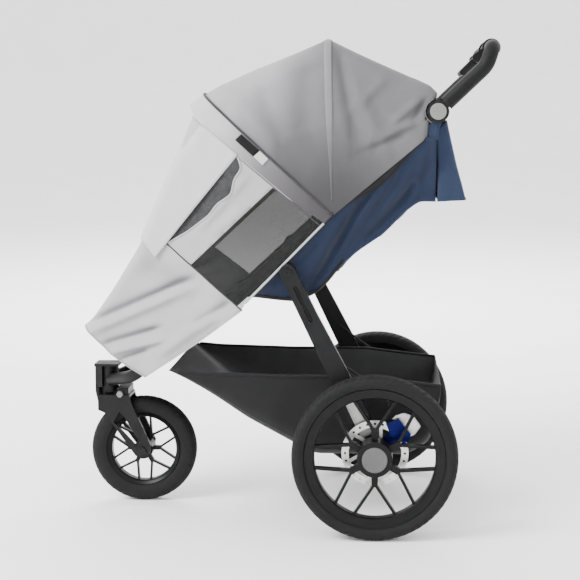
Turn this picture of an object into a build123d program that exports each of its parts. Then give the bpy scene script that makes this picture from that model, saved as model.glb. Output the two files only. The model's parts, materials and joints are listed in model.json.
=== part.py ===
from build123d import *
import os
from math import atan2, cos, degrees, hypot, radians, sin

# Three-wheeled jogging stroller with a sun cover over its hood and seat.
# X points to the front wheel, Y to the child's left, Z up. The origin is on the
# ground below the middle of the stroller. All sizes are in millimetres.

os.makedirs("parts", exist_ok=True)

SIDES = {"left": 1, "right": -1}

# Rear wheels
REAR_AXLE_X, REAR_AXLE_Z = -230.0, 197.5
HALF_TRACK = 300.0
REAR_TYRE_R = 197.5
REAR_TYRE_W = 50.0
REAR_RIM_R = 166.0
REAR_RIM_BORE_R = 143.0
REAR_HUB_R = 42.0
REAR_LOBES = 6
REAR_APEX_R = 62.0
REAR_SPOKE_W = 7.0
HUB_CAP_R = 30.0
DISC_R = 80.0
DISC_TRACK = 17.0
DISC_T = 2.4
DISC_Y = 262.0
AXLE_R = 6.0
BEARING_R = 14.0
RUNNING_GAP = 0.05

# Front wheel, fork and head
FRONT_HUB_X, FRONT_HUB_Z = 375.0, 137.0
FRONT_TYRE_R = 137.0
FRONT_TYRE_W = 45.0
FRONT_RIM_R = 94.0
FRONT_RIM_BORE_R = 84.0
FRONT_HUB_R = 25.0
FRONT_LOBES = 6
FRONT_APEX_R = 38.0
FRONT_SPOKE_W = 5.0
STEER_X = 465.0
FORK_IN_Y = 28.0
FORK_OUT_Y = 38.0
CROWN_TOP_Z = 283.0
CROWN_LIP_Z = 301.0
HEAD_R = 24.0
HEAD_LOW_Z, HEAD_TOP_Z = 287.0, 356.0
STEM_R = 12.0
HEAD_BORE_R = 18.0

# Main frame
TUBE_R = 16.0
TUBE_Y = 215.0
JOINT_X, JOINT_Z = -377.0, 1011.0
LEG_PIVOT_X, LEG_PIVOT_Z = -21.0, 630.0
BEND_X, BEND_Z = 110.0, 558.0
HUB_R = 20.0
LEG_IN_Y, LEG_OUT_Y = 234.0, 250.0
PIVOT_BOLT_R = 6.0

# Handlebar
BAR_X, BAR_Z = -505.0, 1163.0
BAR_Y = 235.0
BAR_TUBE_R = 11.0
GRIP_R = 18.0
SHELL_R = 26.0
BUTTON_R = 19.5

# Seat, basket and cover
RECLINE_X, RECLINE_Z = -96.0, 612.0
SEAT_IN_Y, SEAT_OUT_Y = 186.0, 194.0
COVER_Y = 236.0
CLOTH_T = 4.0
BASKET_Y = 195.0
BOW_R = 5.0
BOW_Y = 222.0
BOW_FOOT_X, BOW_FOOT_Z = -128.0, 779.4
BOW_BRACKET_R = 28.0


def side_plane(y=0.0, x=0.0, z=0.0):
    """Upright plane along the stroller: its x runs forward and its y runs up."""
    return Plane(origin=(x, y, z), x_dir=(1, 0, 0), z_dir=(0, -1, 0))


def side_prism(points, y_from, y_to, mode=Mode.ADD):
    """Prism with the given side view, between two distances from the middle."""
    with BuildSketch(side_plane(max(y_from, y_to))) as profile:
        with BuildLine():
            Polyline(*points, close=True)
        make_face()
    extrude(profile.sketch, amount=abs(y_to - y_from), mode=mode)


def top_prism(points, z_from, z_to, mode=Mode.ADD):
    """Prism with the given top view, between two heights."""
    with BuildSketch(Plane.XY.offset(z_from)) as profile:
        with BuildLine():
            Polyline(*points, close=True)
        make_face()
    extrude(profile.sketch, amount=z_to - z_from, mode=mode)


def cross_pin(x, z, radius, y_from, y_to, mode=Mode.ADD):
    """Round pin or hole that runs across the stroller."""
    with BuildSketch(side_plane(max(y_from, y_to), x, z)) as profile:
        Circle(radius)
    extrude(profile.sketch, amount=abs(y_to - y_from), mode=mode)


def bar(start, end, width):
    """Round-ended bar between two points of the open sketch."""
    run = hypot(end[0] - start[0], end[1] - start[1])
    turn = degrees(atan2(end[1] - start[1], end[0] - start[0]))
    middle = ((start[0] + end[0]) / 2, (start[1] + end[1]) / 2)
    with Locations(Location((middle[0], middle[1], 0), (0, 0, turn))):
        SlotCenterToCenter(run, width)


def polar(radius, angle):
    """Point at a radius and an angle in degrees."""
    return (radius * cos(radians(angle)), radius * sin(radians(angle)))


def swept_tube(points, bends, radius, bore=0.0):
    """Round tube along straight runs joined by arcs."""
    with BuildLine() as route:
        FilletPolyline(*points, radius=bends)
    with BuildSketch(Plane(origin=route.line @ 0, z_dir=route.line % 0)) as section:
        Circle(radius)
        if bore:
            Circle(bore, mode=Mode.SUBTRACT)
    sweep(section.sketch, path=route.line)


def mirrored(points, side):
    """The same points on the left (side 1) or right (side -1) of the stroller."""
    return [(x, side * y, z) for x, y, z in points]


def write(builder, name):
    """Label a finished sub-part and write it to its own file."""
    builder.part.label = name
    export_step(builder.part, f"parts/{name}.step")


def wheel_plane(x, y, z, side):
    """Plane across a wheel at its hub, facing away from the stroller."""
    return Plane(origin=(x, y, z), x_dir=(1, 0, 0), z_dir=(0, side, 0))


def wheel_section(x, y, z, side):
    """Plane through a wheel's axis: its x is the radius and its y points outward."""
    return Plane(origin=(x, y, z), x_dir=(1, 0, 0), z_dir=(0, 0, side))


def tyre_solid(x, y, z, side, outer, inner, width):
    """Round-crowned tyre."""
    half = width / 2
    shoulder = outer - 0.28 * (outer - inner)
    waist = inner + 0.4 * (outer - inner)
    with BuildSketch(wheel_section(x, y, z, side)) as section:
        with BuildLine():
            ThreePointArc((inner, 0.78 * half), (waist, half), (shoulder, 0.82 * half))
            ThreePointArc((shoulder, 0.82 * half), (outer, 0), (shoulder, -0.82 * half))
            ThreePointArc((shoulder, -0.82 * half), (waist, -half), (inner, -0.78 * half))
            Line((inner, -0.78 * half), (inner, 0.78 * half))
        make_face()
    revolve(section.sketch, axis=Axis((x, y, z), (0, side, 0)))


def spoked_rim(x, y, z, side, rim_r, bore_r, rim_w, lobes, first, apex_r, spoke_w, hub_r, hub_from, hub_to):
    """Rim, hub and forked spokes in one casting."""
    half = rim_w / 2
    with BuildSketch(wheel_section(x, y, z, side)) as section:
        with BuildLine():
            Polyline((rim_r, half), (bore_r + 3, 0.72 * half), (bore_r, 0.5 * half),
                     (bore_r, -0.5 * half), (bore_r + 3, -0.72 * half), (rim_r, -half), close=True)
        make_face()
    revolve(section.sketch, axis=Axis((x, y, z), (0, side, 0)))
    with BuildSketch(wheel_plane(x, y, z, side)) as spokes:
        for lobe in range(lobes):
            angle = first + lobe * 360 / lobes
            bar(polar(hub_r - 4, angle), polar(apex_r, angle), 2.2 * spoke_w)
            for fork in (-1, 1):
                bar(polar(apex_r, angle), polar(bore_r + 4, angle + 20 * fork), spoke_w)
    extrude(spokes.sketch, amount=spoke_w, both=True)
    with BuildSketch(wheel_plane(x, y, z, side).offset(hub_from)) as hub_end:
        Circle(hub_r)
    extrude(hub_end.sketch, amount=hub_to - hub_from)
    with BuildSketch(wheel_plane(x, y, z, side).offset(hub_from)) as hub_bore:
        Circle(BEARING_R)
    extrude(hub_bore.sketch, amount=hub_to - hub_from, mode=Mode.SUBTRACT)


def bearing_pair(x, y, z, side, at, width):
    """Two ball bearing rings on one axis."""
    for offset_out in at:
        with BuildSketch(wheel_plane(x, y, z, side).offset(offset_out)) as ring:
            Circle(BEARING_R)
            Circle(AXLE_R + RUNNING_GAP, mode=Mode.SUBTRACT)
        extrude(ring.sketch, amount=width)


# ---------------------------------------------------------------- rear wheels

HUB_IN, HUB_OUT = -30.0, 24.0
BEARING_W = 10.0

for side_name, side in SIDES.items():
    hub = (REAR_AXLE_X, side * HALF_TRACK, REAR_AXLE_Z)

    with BuildPart() as rear_tyre:
        tyre_solid(*hub, side, REAR_TYRE_R, REAR_RIM_R, REAR_TYRE_W)
    write(rear_tyre, f"rear_tyre_{side_name}")

    with BuildPart() as rear_rim:
        spoked_rim(*hub, side, REAR_RIM_R, REAR_RIM_BORE_R, 38, REAR_LOBES, 90 * side,
                   REAR_APEX_R, REAR_SPOKE_W, REAR_HUB_R, HUB_IN, HUB_OUT)
    write(rear_rim, f"rear_rim_{side_name}")

    with BuildPart() as hub_cap:
        with BuildSketch(wheel_plane(*hub, side).offset(HUB_OUT)):
            Circle(HUB_CAP_R)
        extrude(amount=5)
        fillet(hub_cap.faces().sort_by(Axis.Y)[-1 if side > 0 else 0].edges(), 2)
    write(hub_cap, f"hub_cap_{side_name}")

    with BuildPart() as rear_bearings:
        bearing_pair(*hub, side, (HUB_IN + 2, HUB_OUT - BEARING_W - 2), BEARING_W)
    write(rear_bearings, f"rear_bearings_{side_name}")

    with BuildPart() as brake_disc:
        with BuildSketch(wheel_plane(*hub, side).offset(DISC_Y - HALF_TRACK)):
            Circle(DISC_R)
            Circle(DISC_R - DISC_TRACK, mode=Mode.SUBTRACT)
            with PolarLocations(DISC_R - DISC_TRACK / 2, 24):
                Circle(3, mode=Mode.SUBTRACT)
            Circle(30)
            for arm in range(6):
                bar(polar(28, arm * 60), polar(DISC_R - DISC_TRACK + 3, arm * 60 + 18), 8)
            Circle(BEARING_R + 2, mode=Mode.SUBTRACT)
        extrude(amount=DISC_T / 2, both=True)
    write(brake_disc, f"brake_disc_{side_name}")

# ---------------------------------------------------------------- front wheel

front_hub = (FRONT_HUB_X, 0.0, FRONT_HUB_Z)

with BuildPart() as front_tyre:
    tyre_solid(*front_hub, 1, FRONT_TYRE_R, FRONT_RIM_R, FRONT_TYRE_W)
write(front_tyre, "front_tyre")

with BuildPart() as front_rim:
    spoked_rim(*front_hub, 1, FRONT_RIM_R, FRONT_RIM_BORE_R, 36, FRONT_LOBES, 0,
               FRONT_APEX_R, FRONT_SPOKE_W, FRONT_HUB_R, -22, 22)
write(front_rim, "front_rim")

with BuildPart() as front_bearings:
    bearing_pair(*front_hub, 1, (-20, 10), BEARING_W)
write(front_bearings, "front_bearings")

# ---------------------------------------------------------------- caster fork

FORK_PLATE = [(480, 272), (478, 246), (392, 124), (375, 116), (356, 128), (352, 150), (400, 258), (406, 276)]
FORK_WINDOW = [(448, 212), (434, 238), (420, 226), (382, 160), (391, 150)]
FORK_CROWN = [(406, 262), (407, CROWN_TOP_Z), (488, CROWN_TOP_Z), (488, 244), (470, 236), (420, 236)]
LOCK_X, LOCK_Z = 431.0, 285.0

with BuildPart() as fork:
    for side in SIDES.values():
        side_prism(FORK_PLATE, side * FORK_IN_Y, side * FORK_OUT_Y)
    side_prism(FORK_CROWN, -FORK_OUT_Y, FORK_OUT_Y)
    side_prism([(409, 280), (409, CROWN_LIP_Z), (439.5, CROWN_LIP_Z), (439.5, 280)], -32, 32)
    side_prism([(488, 250), (497, 290), (497, CROWN_LIP_Z), (488, CROWN_LIP_Z)], -24, 24)
    cross_pin(FRONT_HUB_X, FRONT_HUB_Z, FRONT_TYRE_R + 5, -FORK_IN_Y, FORK_IN_Y, mode=Mode.SUBTRACT)
    for side in SIDES.values():
        side_prism(FORK_WINDOW, side * (FORK_IN_Y - 1), side * (FORK_OUT_Y + 1), mode=Mode.SUBTRACT)
    with BuildSketch(Plane.XY.offset(CROWN_TOP_Z)):
        with Locations((STEER_X, 0)):
            Circle(STEM_R)
    extrude(amount=HEAD_TOP_Z - 6 - CROWN_TOP_Z)
    with BuildSketch(Plane.XY.offset(CROWN_TOP_Z)):
        with Locations((STEER_X, 0)):
            Circle(HEAD_R + 0.8)
            Circle(STEM_R, mode=Mode.SUBTRACT)
    extrude(amount=20, mode=Mode.SUBTRACT)
    cross_pin(FRONT_HUB_X, FRONT_HUB_Z, AXLE_R, -50, 50, mode=Mode.SUBTRACT)
    cross_pin(LOCK_X, LOCK_Z, 8.05, 20, 50, mode=Mode.SUBTRACT)
write(fork, "fork")

with BuildPart() as front_axle:
    cross_pin(FRONT_HUB_X, FRONT_HUB_Z, AXLE_R, -38, 38)
    cross_pin(FRONT_HUB_X, FRONT_HUB_Z, 11, 38, 43)
    cross_pin(FRONT_HUB_X, FRONT_HUB_Z, 11, -43, -38)
write(front_axle, "front_axle")

with BuildPart() as swivel_lock_button:
    cross_pin(LOCK_X, LOCK_Z, 8, 24, 40)
    fillet(swivel_lock_button.faces().sort_by(Axis.Y)[-1].edges(), 1.5)
write(swivel_lock_button, "swivel_lock_button")

# ---------------------------------------------------------------- front head

with BuildPart() as front_head:
    with BuildSketch(Plane.XY.offset(HEAD_LOW_Z)):
        with Locations((STEER_X, 0)):
            Circle(HEAD_R)
            Circle(HEAD_BORE_R, mode=Mode.SUBTRACT)
    extrude(amount=HEAD_TOP_Z - HEAD_LOW_Z)
    top_prism([(478, -30), (497, -24), (497, 24), (478, 30)], CROWN_LIP_Z + 1, HEAD_TOP_Z)
    with BuildSketch(Plane.XY.offset(HEAD_LOW_Z)):
        with Locations((STEER_X, 0)):
            Circle(HEAD_BORE_R)
    extrude(amount=HEAD_TOP_Z - HEAD_LOW_Z, mode=Mode.SUBTRACT)
    top_prism([(436, -29), (499, -27), (499, 27), (436, 29)], HEAD_TOP_Z, HEAD_TOP_Z + 6)
write(front_head, "front_head")

with BuildPart() as steering_bearings:
    for z_low in (HEAD_LOW_Z + 1, HEAD_TOP_Z - 17):
        with BuildSketch(Plane.XY.offset(z_low)):
            with Locations((STEER_X, 0)):
                Circle(HEAD_BORE_R)
                Circle(STEM_R + RUNNING_GAP, mode=Mode.SUBTRACT)
        extrude(amount=10)
write(steering_bearings, "steering_bearings")

# ---------------------------------------------------------------- main frame

tube_run = hypot(BEND_X - JOINT_X, BEND_Z - JOINT_Z)
TUBE_DIR = ((BEND_X - JOINT_X) / tube_run, (BEND_Z - JOINT_Z) / tube_run)
SIDE_TUBE = [
    (JOINT_X + 18 * TUBE_DIR[0], TUBE_Y, JOINT_Z + 18 * TUBE_DIR[1]),
    (BEND_X, TUBE_Y, BEND_Z),
    (390, 82, 341),
    (456, 20, 320),
]
CORE_R = 24.0
CORE_OUT_Y = 219.5

side_tubes = []
for side_name, side in SIDES.items():
    with BuildPart() as side_tube:
        swept_tube(mirrored(SIDE_TUBE, side), [120, 80], TUBE_R)
        cross_pin(JOINT_X, JOINT_Z, CORE_R, side * 190, side * 240, mode=Mode.SUBTRACT)
        cross_pin(JOINT_X, JOINT_Z, SHELL_R + 0.5, side * CORE_OUT_Y, side * 240, mode=Mode.SUBTRACT)
        with BuildSketch(Plane.XY.offset(HEAD_LOW_Z)):
            with Locations((STEER_X, 0)):
                Circle(HEAD_R)
        extrude(amount=HEAD_TOP_Z - HEAD_LOW_Z, mode=Mode.SUBTRACT)
    write(side_tube, f"side_tube_{side_name}")
    side_tubes.append(side_tube.part)

# The leg pivot hangs below the side tube on a clamp.
CLAMP_X, CLAMP_Z = LEG_PIVOT_X + 25, LEG_PIVOT_Z + 27

with BuildPart() as fold_hubs:
    for side in SIDES.values():
        with BuildSketch(side_plane(231 if side > 0 else -196)):
            bar((CLAMP_X, CLAMP_Z), (LEG_PIVOT_X, LEG_PIVOT_Z), 2 * HUB_R)
        extrude(amount=35)
        cross_pin(LEG_PIVOT_X, LEG_PIVOT_Z, HUB_R - 1, side * 228, side * (LEG_IN_Y - 0.6))
        cross_pin(LEG_PIVOT_X, LEG_PIVOT_Z, PIVOT_BOLT_R, side * 190, side * 240, mode=Mode.SUBTRACT)
    for tube in side_tubes:
        add(tube, mode=Mode.SUBTRACT)
write(fold_hubs, "fold_hubs")

with BuildPart() as pivot_bolts:
    for side in SIDES.values():
        cross_pin(LEG_PIVOT_X, LEG_PIVOT_Z, PIVOT_BOLT_R, side * 196, side * (LEG_OUT_Y + 0.5))
        cross_pin(LEG_PIVOT_X, LEG_PIVOT_Z, 9, side * (LEG_OUT_Y + 0.5), side * (LEG_OUT_Y + 4))
        cross_pin(LEG_PIVOT_X, LEG_PIVOT_Z, 4, side * (LEG_OUT_Y + 2), side * (LEG_OUT_Y + 5), mode=Mode.SUBTRACT)
write(pivot_bolts, "pivot_bolts")

CROSS_X, CROSS_Z = 150.0, 524.0
with BuildPart() as seat_cross_tube:
    cross_pin(CROSS_X, CROSS_Z, 10, -200, 200)
    for tube in side_tubes:
        add(tube, mode=Mode.SUBTRACT)
write(seat_cross_tube, "seat_cross_tube")

with BuildPart() as footrest:
    side_prism([(262, 445), (262, 451), (352, 399), (396, 396), (396, 390), (350, 392)], -96, 96)
write(footrest, "footrest")

with BuildPart() as hinge_cores:
    for side in SIDES.values():
        cross_pin(JOINT_X, JOINT_Z, CORE_R, side * 199, side * CORE_OUT_Y)
        cross_pin(JOINT_X, JOINT_Z, PIVOT_BOLT_R, side * 199, side * 232)
write(hinge_cores, "hinge_cores")

# ---------------------------------------------------------------- handlebar

BAR_ROUTE = [
    (-390, BAR_Y, 1024),
    (-490, BAR_Y, 1119),
    (BAR_X, BAR_Y, BAR_Z),
    (BAR_X, -BAR_Y, BAR_Z),
    (-490, -BAR_Y, 1119),
    (-390, -BAR_Y, 1024),
]
GRIP_ROUTE = [(-402, BAR_Y, 1035.4)] + BAR_ROUTE[1:5] + [(-402, -BAR_Y, 1035.4)]

with BuildPart() as handlebar_tube:
    swept_tube(BAR_ROUTE, [60, 30, 30, 60], BAR_TUBE_R)
    cross_pin(JOINT_X, JOINT_Z, SHELL_R, -260, 260, mode=Mode.SUBTRACT)
write(handlebar_tube, "handlebar_tube")

with BuildPart() as handle_grip:
    swept_tube(GRIP_ROUTE, [60, 30, 30, 60], GRIP_R, BAR_TUBE_R)
write(handle_grip, "handle_grip")

SHELL_IN, SHELL_OUT = 220.0, 247.0
with BuildPart() as hinge_shells:
    for side in SIDES.values():
        cross_pin(JOINT_X, JOINT_Z, SHELL_R, side * SHELL_IN, side * SHELL_OUT)
        cross_pin(JOINT_X, JOINT_Z, PIVOT_BOLT_R + RUNNING_GAP, side * SHELL_IN, side * 234, mode=Mode.SUBTRACT)
        cross_pin(JOINT_X, JOINT_Z, BUTTON_R + RUNNING_GAP, side * 239, side * 250, mode=Mode.SUBTRACT)
write(hinge_shells, "hinge_shells")

for side_name, side in SIDES.items():
    with BuildPart() as hinge_button:
        cross_pin(JOINT_X, JOINT_Z, BUTTON_R, side * 243.5, side * 250)
        fillet(hinge_button.faces().sort_by(Axis.Y)[-1 if side > 0 else 0].edges(), 1.5)
    write(hinge_button, f"hinge_button_{side_name}")

# Hand brake under the front of the bar
LEVER_X, LEVER_Z = -471.0, 1139.0
LEVER_TIP_X, LEVER_TIP_Z = -437.0, 1105.0
LEVER_FROM_Y, LEVER_TO_Y = 60.0, 170.0

with BuildPart() as lever_bracket:
    for y_low in (LEVER_FROM_Y - 12, LEVER_TO_Y + 1):
        with BuildSketch(side_plane(y_low + 11)):
            bar((BAR_X, BAR_Z), (LEVER_X, LEVER_Z), 22)
            with Locations((BAR_X, BAR_Z)):
                Circle(GRIP_R + 4)
                Circle(GRIP_R, mode=Mode.SUBTRACT)
        extrude(amount=11)
    cross_pin(LEVER_X, LEVER_Z, 4, LEVER_FROM_Y - 20, LEVER_TO_Y + 20, mode=Mode.SUBTRACT)
write(lever_bracket, "lever_bracket")

with BuildPart() as lever_pin:
    cross_pin(LEVER_X, LEVER_Z, 4, LEVER_FROM_Y - 12, LEVER_TO_Y + 12)
write(lever_pin, "lever_pin")

with BuildPart() as brake_lever:
    with BuildSketch(side_plane(LEVER_TO_Y)):
        bar((LEVER_X, LEVER_Z), (LEVER_TIP_X, LEVER_TIP_Z), 13)
    extrude(amount=LEVER_TO_Y - LEVER_FROM_Y)
    cross_pin(LEVER_X, LEVER_Z, 4 + RUNNING_GAP, LEVER_FROM_Y, LEVER_TO_Y, mode=Mode.SUBTRACT)
write(brake_lever, "brake_lever")

# ---------------------------------------------------------------- rear legs

leg_run = hypot(REAR_AXLE_X - LEG_PIVOT_X, REAR_AXLE_Z - LEG_PIVOT_Z)
LEG_DIR = ((REAR_AXLE_X - LEG_PIVOT_X) / leg_run, (REAR_AXLE_Z - LEG_PIVOT_Z) / leg_run)


def leg_point(along, across=0.0):
    """Point in the side view, measured down the leg and forward of its middle line."""
    return (LEG_PIVOT_X + along * LEG_DIR[0] - across * LEG_DIR[1],
            LEG_PIVOT_Z + along * LEG_DIR[1] + across * LEG_DIR[0])


LEG_SIDES = [leg_point(0, -19), leg_point(0, 19), leg_point(280, 22), leg_point(leg_run, 26),
             leg_point(leg_run, -26), leg_point(280, -26), leg_point(120, -20)]

for side_name, side in SIDES.items():
    with BuildPart() as leg:
        side_prism(LEG_SIDES, side * LEG_IN_Y, side * LEG_OUT_Y)
        cross_pin(LEG_PIVOT_X, LEG_PIVOT_Z, 19, side * LEG_IN_Y, side * LEG_OUT_Y)
        cross_pin(REAR_AXLE_X, REAR_AXLE_Z, 26, side * LEG_IN_Y, side * LEG_OUT_Y)
        for slot_from, slot_to in ((42, 84), (92, 128)):
            with BuildSketch(side_plane(side * LEG_OUT_Y if side > 0 else -LEG_OUT_Y + 3)):
                bar(leg_point(slot_from), leg_point(slot_to), 9)
            extrude(amount=3, mode=Mode.SUBTRACT)
        cross_pin(LEG_PIVOT_X, LEG_PIVOT_Z, PIVOT_BOLT_R + RUNNING_GAP, side * 230, side * 255, mode=Mode.SUBTRACT)
        cross_pin(REAR_AXLE_X, REAR_AXLE_Z, AXLE_R, side * 230, side * 255, mode=Mode.SUBTRACT)
    write(leg, f"leg_{side_name}")

with BuildPart() as rear_cross_tube:
    cross_pin(REAR_AXLE_X, REAR_AXLE_Z, 11, -LEG_IN_Y, LEG_IN_Y)
    for side in SIDES.values():
        cross_pin(REAR_AXLE_X, REAR_AXLE_Z, AXLE_R, side * 204, side * LEG_IN_Y, mode=Mode.SUBTRACT)
write(rear_cross_tube, "rear_cross_tube")

with BuildPart() as rear_axles:
    for side in SIDES.values():
        cross_pin(REAR_AXLE_X, REAR_AXLE_Z, AXLE_R, side * 204, side * (HALF_TRACK + 22))
write(rear_axles, "rear_axles")

CALIPER_X, CALIPER_Z = REAR_AXLE_X - 52, REAR_AXLE_Z + 52
CALIPER_SIDE = [(CALIPER_X - 20, CALIPER_Z - 28), (CALIPER_X - 34, CALIPER_Z - 4),
                (CALIPER_X - 4, CALIPER_Z + 34), (CALIPER_X + 26, CALIPER_Z + 22),
                (CALIPER_X + 14, CALIPER_Z - 8)]
with BuildPart() as calipers:
    for side in SIDES.values():
        side_prism(CALIPER_SIDE, side * LEG_OUT_Y, side * (DISC_Y + 9))
        with BuildSketch(side_plane(side * LEG_OUT_Y + (6 if side > 0 else 0))):
            bar((CALIPER_X, CALIPER_Z), (REAR_AXLE_X, REAR_AXLE_Z), 24)
        extrude(amount=6)
        cross_pin(REAR_AXLE_X, REAR_AXLE_Z, DISC_R + 2, side * (DISC_Y - 2), side * (DISC_Y + 2), mode=Mode.SUBTRACT)
        cross_pin(REAR_AXLE_X, REAR_AXLE_Z, AXLE_R, side * 245, side * 260, mode=Mode.SUBTRACT)
write(calipers, "calipers")

for side_name, side in SIDES.items():
    with BuildPart() as caliper_arm:
        with BuildSketch(side_plane(side * (LEG_IN_Y + 1) if side > 0 else -(LEG_IN_Y - 4))):
            bar((CALIPER_X - 8, CALIPER_Z + 8), (CALIPER_X - 34, CALIPER_Z + 34), 12)
        extrude(amount=5)
        cross_pin(CALIPER_X - 8, CALIPER_Z + 8, 4, side * (LEG_IN_Y - 2), side * (LEG_OUT_Y - 0.2))
    write(caliper_arm, f"caliper_arm_{side_name}")

CABLE_ROUTE = [(-128, 229, 424), (-180, 226, 384), (-246, 226, 340), (-270, 232, 304), (-280, 246, 276)]
with BuildPart() as brake_cables:
    for side in SIDES.values():
        swept_tube(mirrored(CABLE_ROUTE, side), [120, 45, 45], 2.5)
write(brake_cables, "brake_cables")

with BuildPart() as brake_pedal:
    cross_pin(REAR_AXLE_X, REAR_AXLE_Z, 17, -231, -201)
    side_prism([(REAR_AXLE_X - 8, REAR_AXLE_Z + 6), (REAR_AXLE_X - 10, REAR_AXLE_Z + 16),
                (REAR_AXLE_X - 150, REAR_AXLE_Z + 40), (REAR_AXLE_X - 170, REAR_AXLE_Z + 30),
                (REAR_AXLE_X - 150, REAR_AXLE_Z + 28)], -231, -201)
    cross_pin(REAR_AXLE_X, REAR_AXLE_Z, 11 + RUNNING_GAP, -240, -190, mode=Mode.SUBTRACT)
write(brake_pedal, "brake_pedal")

# ---------------------------------------------------------------- seat

SEAT_TUB = [(67, 564), (-28, 550), (-77, 567), (-113, 598)]
SEAT_BACK_LINE = [(-113, 598), (-145, 639), (-180, 672), (-230, 701), (-286, 754), (-319, 794), (-350, 800)]

with BuildPart() as seat_sides:
    for side in SIDES.values():
        side_prism([(70, 566)] + SEAT_TUB[1:] + SEAT_BACK_LINE[1:] + [(-348, 946), (60, 580)],
                   side * SEAT_IN_Y, side * SEAT_OUT_Y)
write(seat_sides, "seat_sides")

with BuildPart() as seat_pad:
    side_prism([(66, 566), (-28, 553), (-78, 570), (-88, 590), (-30, 582), (60, 596)], -SEAT_IN_Y + 1, SEAT_IN_Y - 1)
write(seat_pad, "seat_pad")

with BuildPart() as seat_back:
    side_prism([(-118, 605), (-147, 642), (-182, 675), (-232, 704), (-288, 757), (-321, 797), (-340, 799),
                (-332, 822), (-300, 802), (-222, 728), (-168, 698), (-128, 664), (-102, 628)],
               -SEAT_IN_Y + 4, SEAT_IN_Y - 4)
write(seat_back, "seat_back")

with BuildPart() as seat_trim:
    for side in SIDES.values():
        side_prism([(67, 560), (-28, 545), (-28, 550), (67, 565)], side * (SEAT_IN_Y - 4), side * SEAT_OUT_Y)
write(seat_trim, "seat_trim")

with BuildPart() as rear_flap:
    side_prism([(-400, 992), (-405, 992), (-447, 798), (-379, 788), (-379, 792), (-442, 801)], -184, 184)
write(rear_flap, "rear_flap")

with BuildPart() as harness_webbing:
    for side in SIDES.values():
        side_prism([(-292, 818), (-290, 816), (-212, 745), (-150, 704), (-92, 650), (-90, 652),
                    (-148, 707), (-210, 748)], side * 40, side * 65)
write(harness_webbing, "harness_webbing")

with BuildPart() as harness_buckle:
    top_prism([(-78, -24), (-44, -24), (-44, 24), (-78, 24)], 640, 656)
    cross_pin(-61, 640, 3, -12, 12)
    top_prism([(-70, -12), (-52, -12), (-52, 12), (-70, 12)], 592, 640)
    with BuildSketch(Plane.XY.offset(650)):
        with Locations((-61, 0)):
            Circle(10 + RUNNING_GAP)
    extrude(amount=10, mode=Mode.SUBTRACT)
write(harness_buckle, "harness_buckle")

with BuildPart() as buckle_button:
    with BuildSketch(Plane.XY.offset(653)):
        with Locations((-61, 0)):
            Circle(10)
    extrude(amount=5)
write(buckle_button, "buckle_button")

with BuildPart() as calf_rest:
    side_prism([(72, 570), (72, 576), (152, 552), (258, 466), (254, 462), (149, 546)], -118, 118)
write(calf_rest, "calf_rest")

# ---------------------------------------------------------------- hood

# Each bow: where its legs begin to lean in, and its flat top, as (X, Y, Z).
BOWS = {
    "front": [(78, 214, 970), (158, 164, 1044)],
    "middle": [(-118, 204, 1063), (-114, 166, 1176)],
}
for bow_name, (lean, top) in BOWS.items():
    run = hypot(lean[0] - BOW_FOOT_X, lean[2] - BOW_FOOT_Z)
    start = (BOW_FOOT_X + 20 * (lean[0] - BOW_FOOT_X) / run, BOW_Y, BOW_FOOT_Z + 20 * (lean[2] - BOW_FOOT_Z) / run)
    half_bow = [start, lean, top]
    with BuildPart() as hood_bow:
        swept_tube(half_bow + mirrored(half_bow[::-1], -1), [60, 34, 34, 60], BOW_R)
        cross_pin(BOW_FOOT_X, BOW_FOOT_Z, BOW_BRACKET_R, -240, 240, mode=Mode.SUBTRACT)
    write(hood_bow, f"hood_bow_{bow_name}")

with BuildPart() as hood_brackets:
    for side in SIDES.values():
        cross_pin(BOW_FOOT_X, BOW_FOOT_Z, BOW_BRACKET_R, side * 195.5, side * 229)
    for tube in side_tubes:
        add(tube, mode=Mode.SUBTRACT)
write(hood_brackets, "hood_brackets")

# The rear bow is short and stands on the side tubes, next to the handle hinges.
REAR_BOW = [(-335.5, TUBE_Y, 991.5), (-339, 207, 1010), (-348, 168, 1034)]
with BuildPart() as rear_bow:
    swept_tube(REAR_BOW + mirrored(REAR_BOW[::-1], -1), [8, 26, 26, 8], BOW_R)
    for tube in side_tubes:
        add(tube, mode=Mode.SUBTRACT)
write(rear_bow, "hood_bow_rear")

# ---------------------------------------------------------------- sun cover

HOOD_SIDE = [(-128, 762), (-358, 955), (-364, 1049), (-300, 1108), (-114, 1190), (60, 1124), (185, 1056)]
SKIRT_SIDE = [(224, 1030), (211, 1003), (342, 703), (372, 650), (459, 519), (494, 483),
              (444, 429), (337, 360), (185, 464), (93, 533), (79, 560), (-105, 744), (-124, 763), (188, 1051)]
COVER_TOP_VIEW = [(-130, 236), (115, 236), (205, 197), (342, 168), (498, 150)]


def cover_outline(outward, x_first=-130):
    """Top view of the skirt, moved outward by the given distance."""
    left = [(x, y + outward) for x, y in COVER_TOP_VIEW]
    left[0] = (x_first, left[0][1])
    left[-1] = (COVER_TOP_VIEW[-1][0] + outward, left[-1][1])
    return left + [(x, -y) for x, y in reversed(left)]


def hood_end_view(inward):
    """Front view of the hood: upright sides that lean in towards a flat top."""
    low = [(COVER_Y - inward, 700), (COVER_Y - inward, 1004), (228 - inward, 1050), (204 - inward, 1110)]
    top = 1200 if inward == 0 else 1200 - inward
    return low + [(172 - inward, top), (-172 + inward, top)] + [(-y, z) for y, z in reversed(low)]


def end_prism(points, x_from, x_to, mode=Mode.ADD):
    """Prism with the given front view, between two places along the stroller."""
    with BuildSketch(Plane(origin=(x_from, 0, 0), x_dir=(0, 1, 0), z_dir=(1, 0, 0))) as profile:
        with BuildLine():
            Polyline(*points, close=True)
        make_face()
    extrude(profile.sketch, amount=x_to - x_from, mode=mode)


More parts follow.
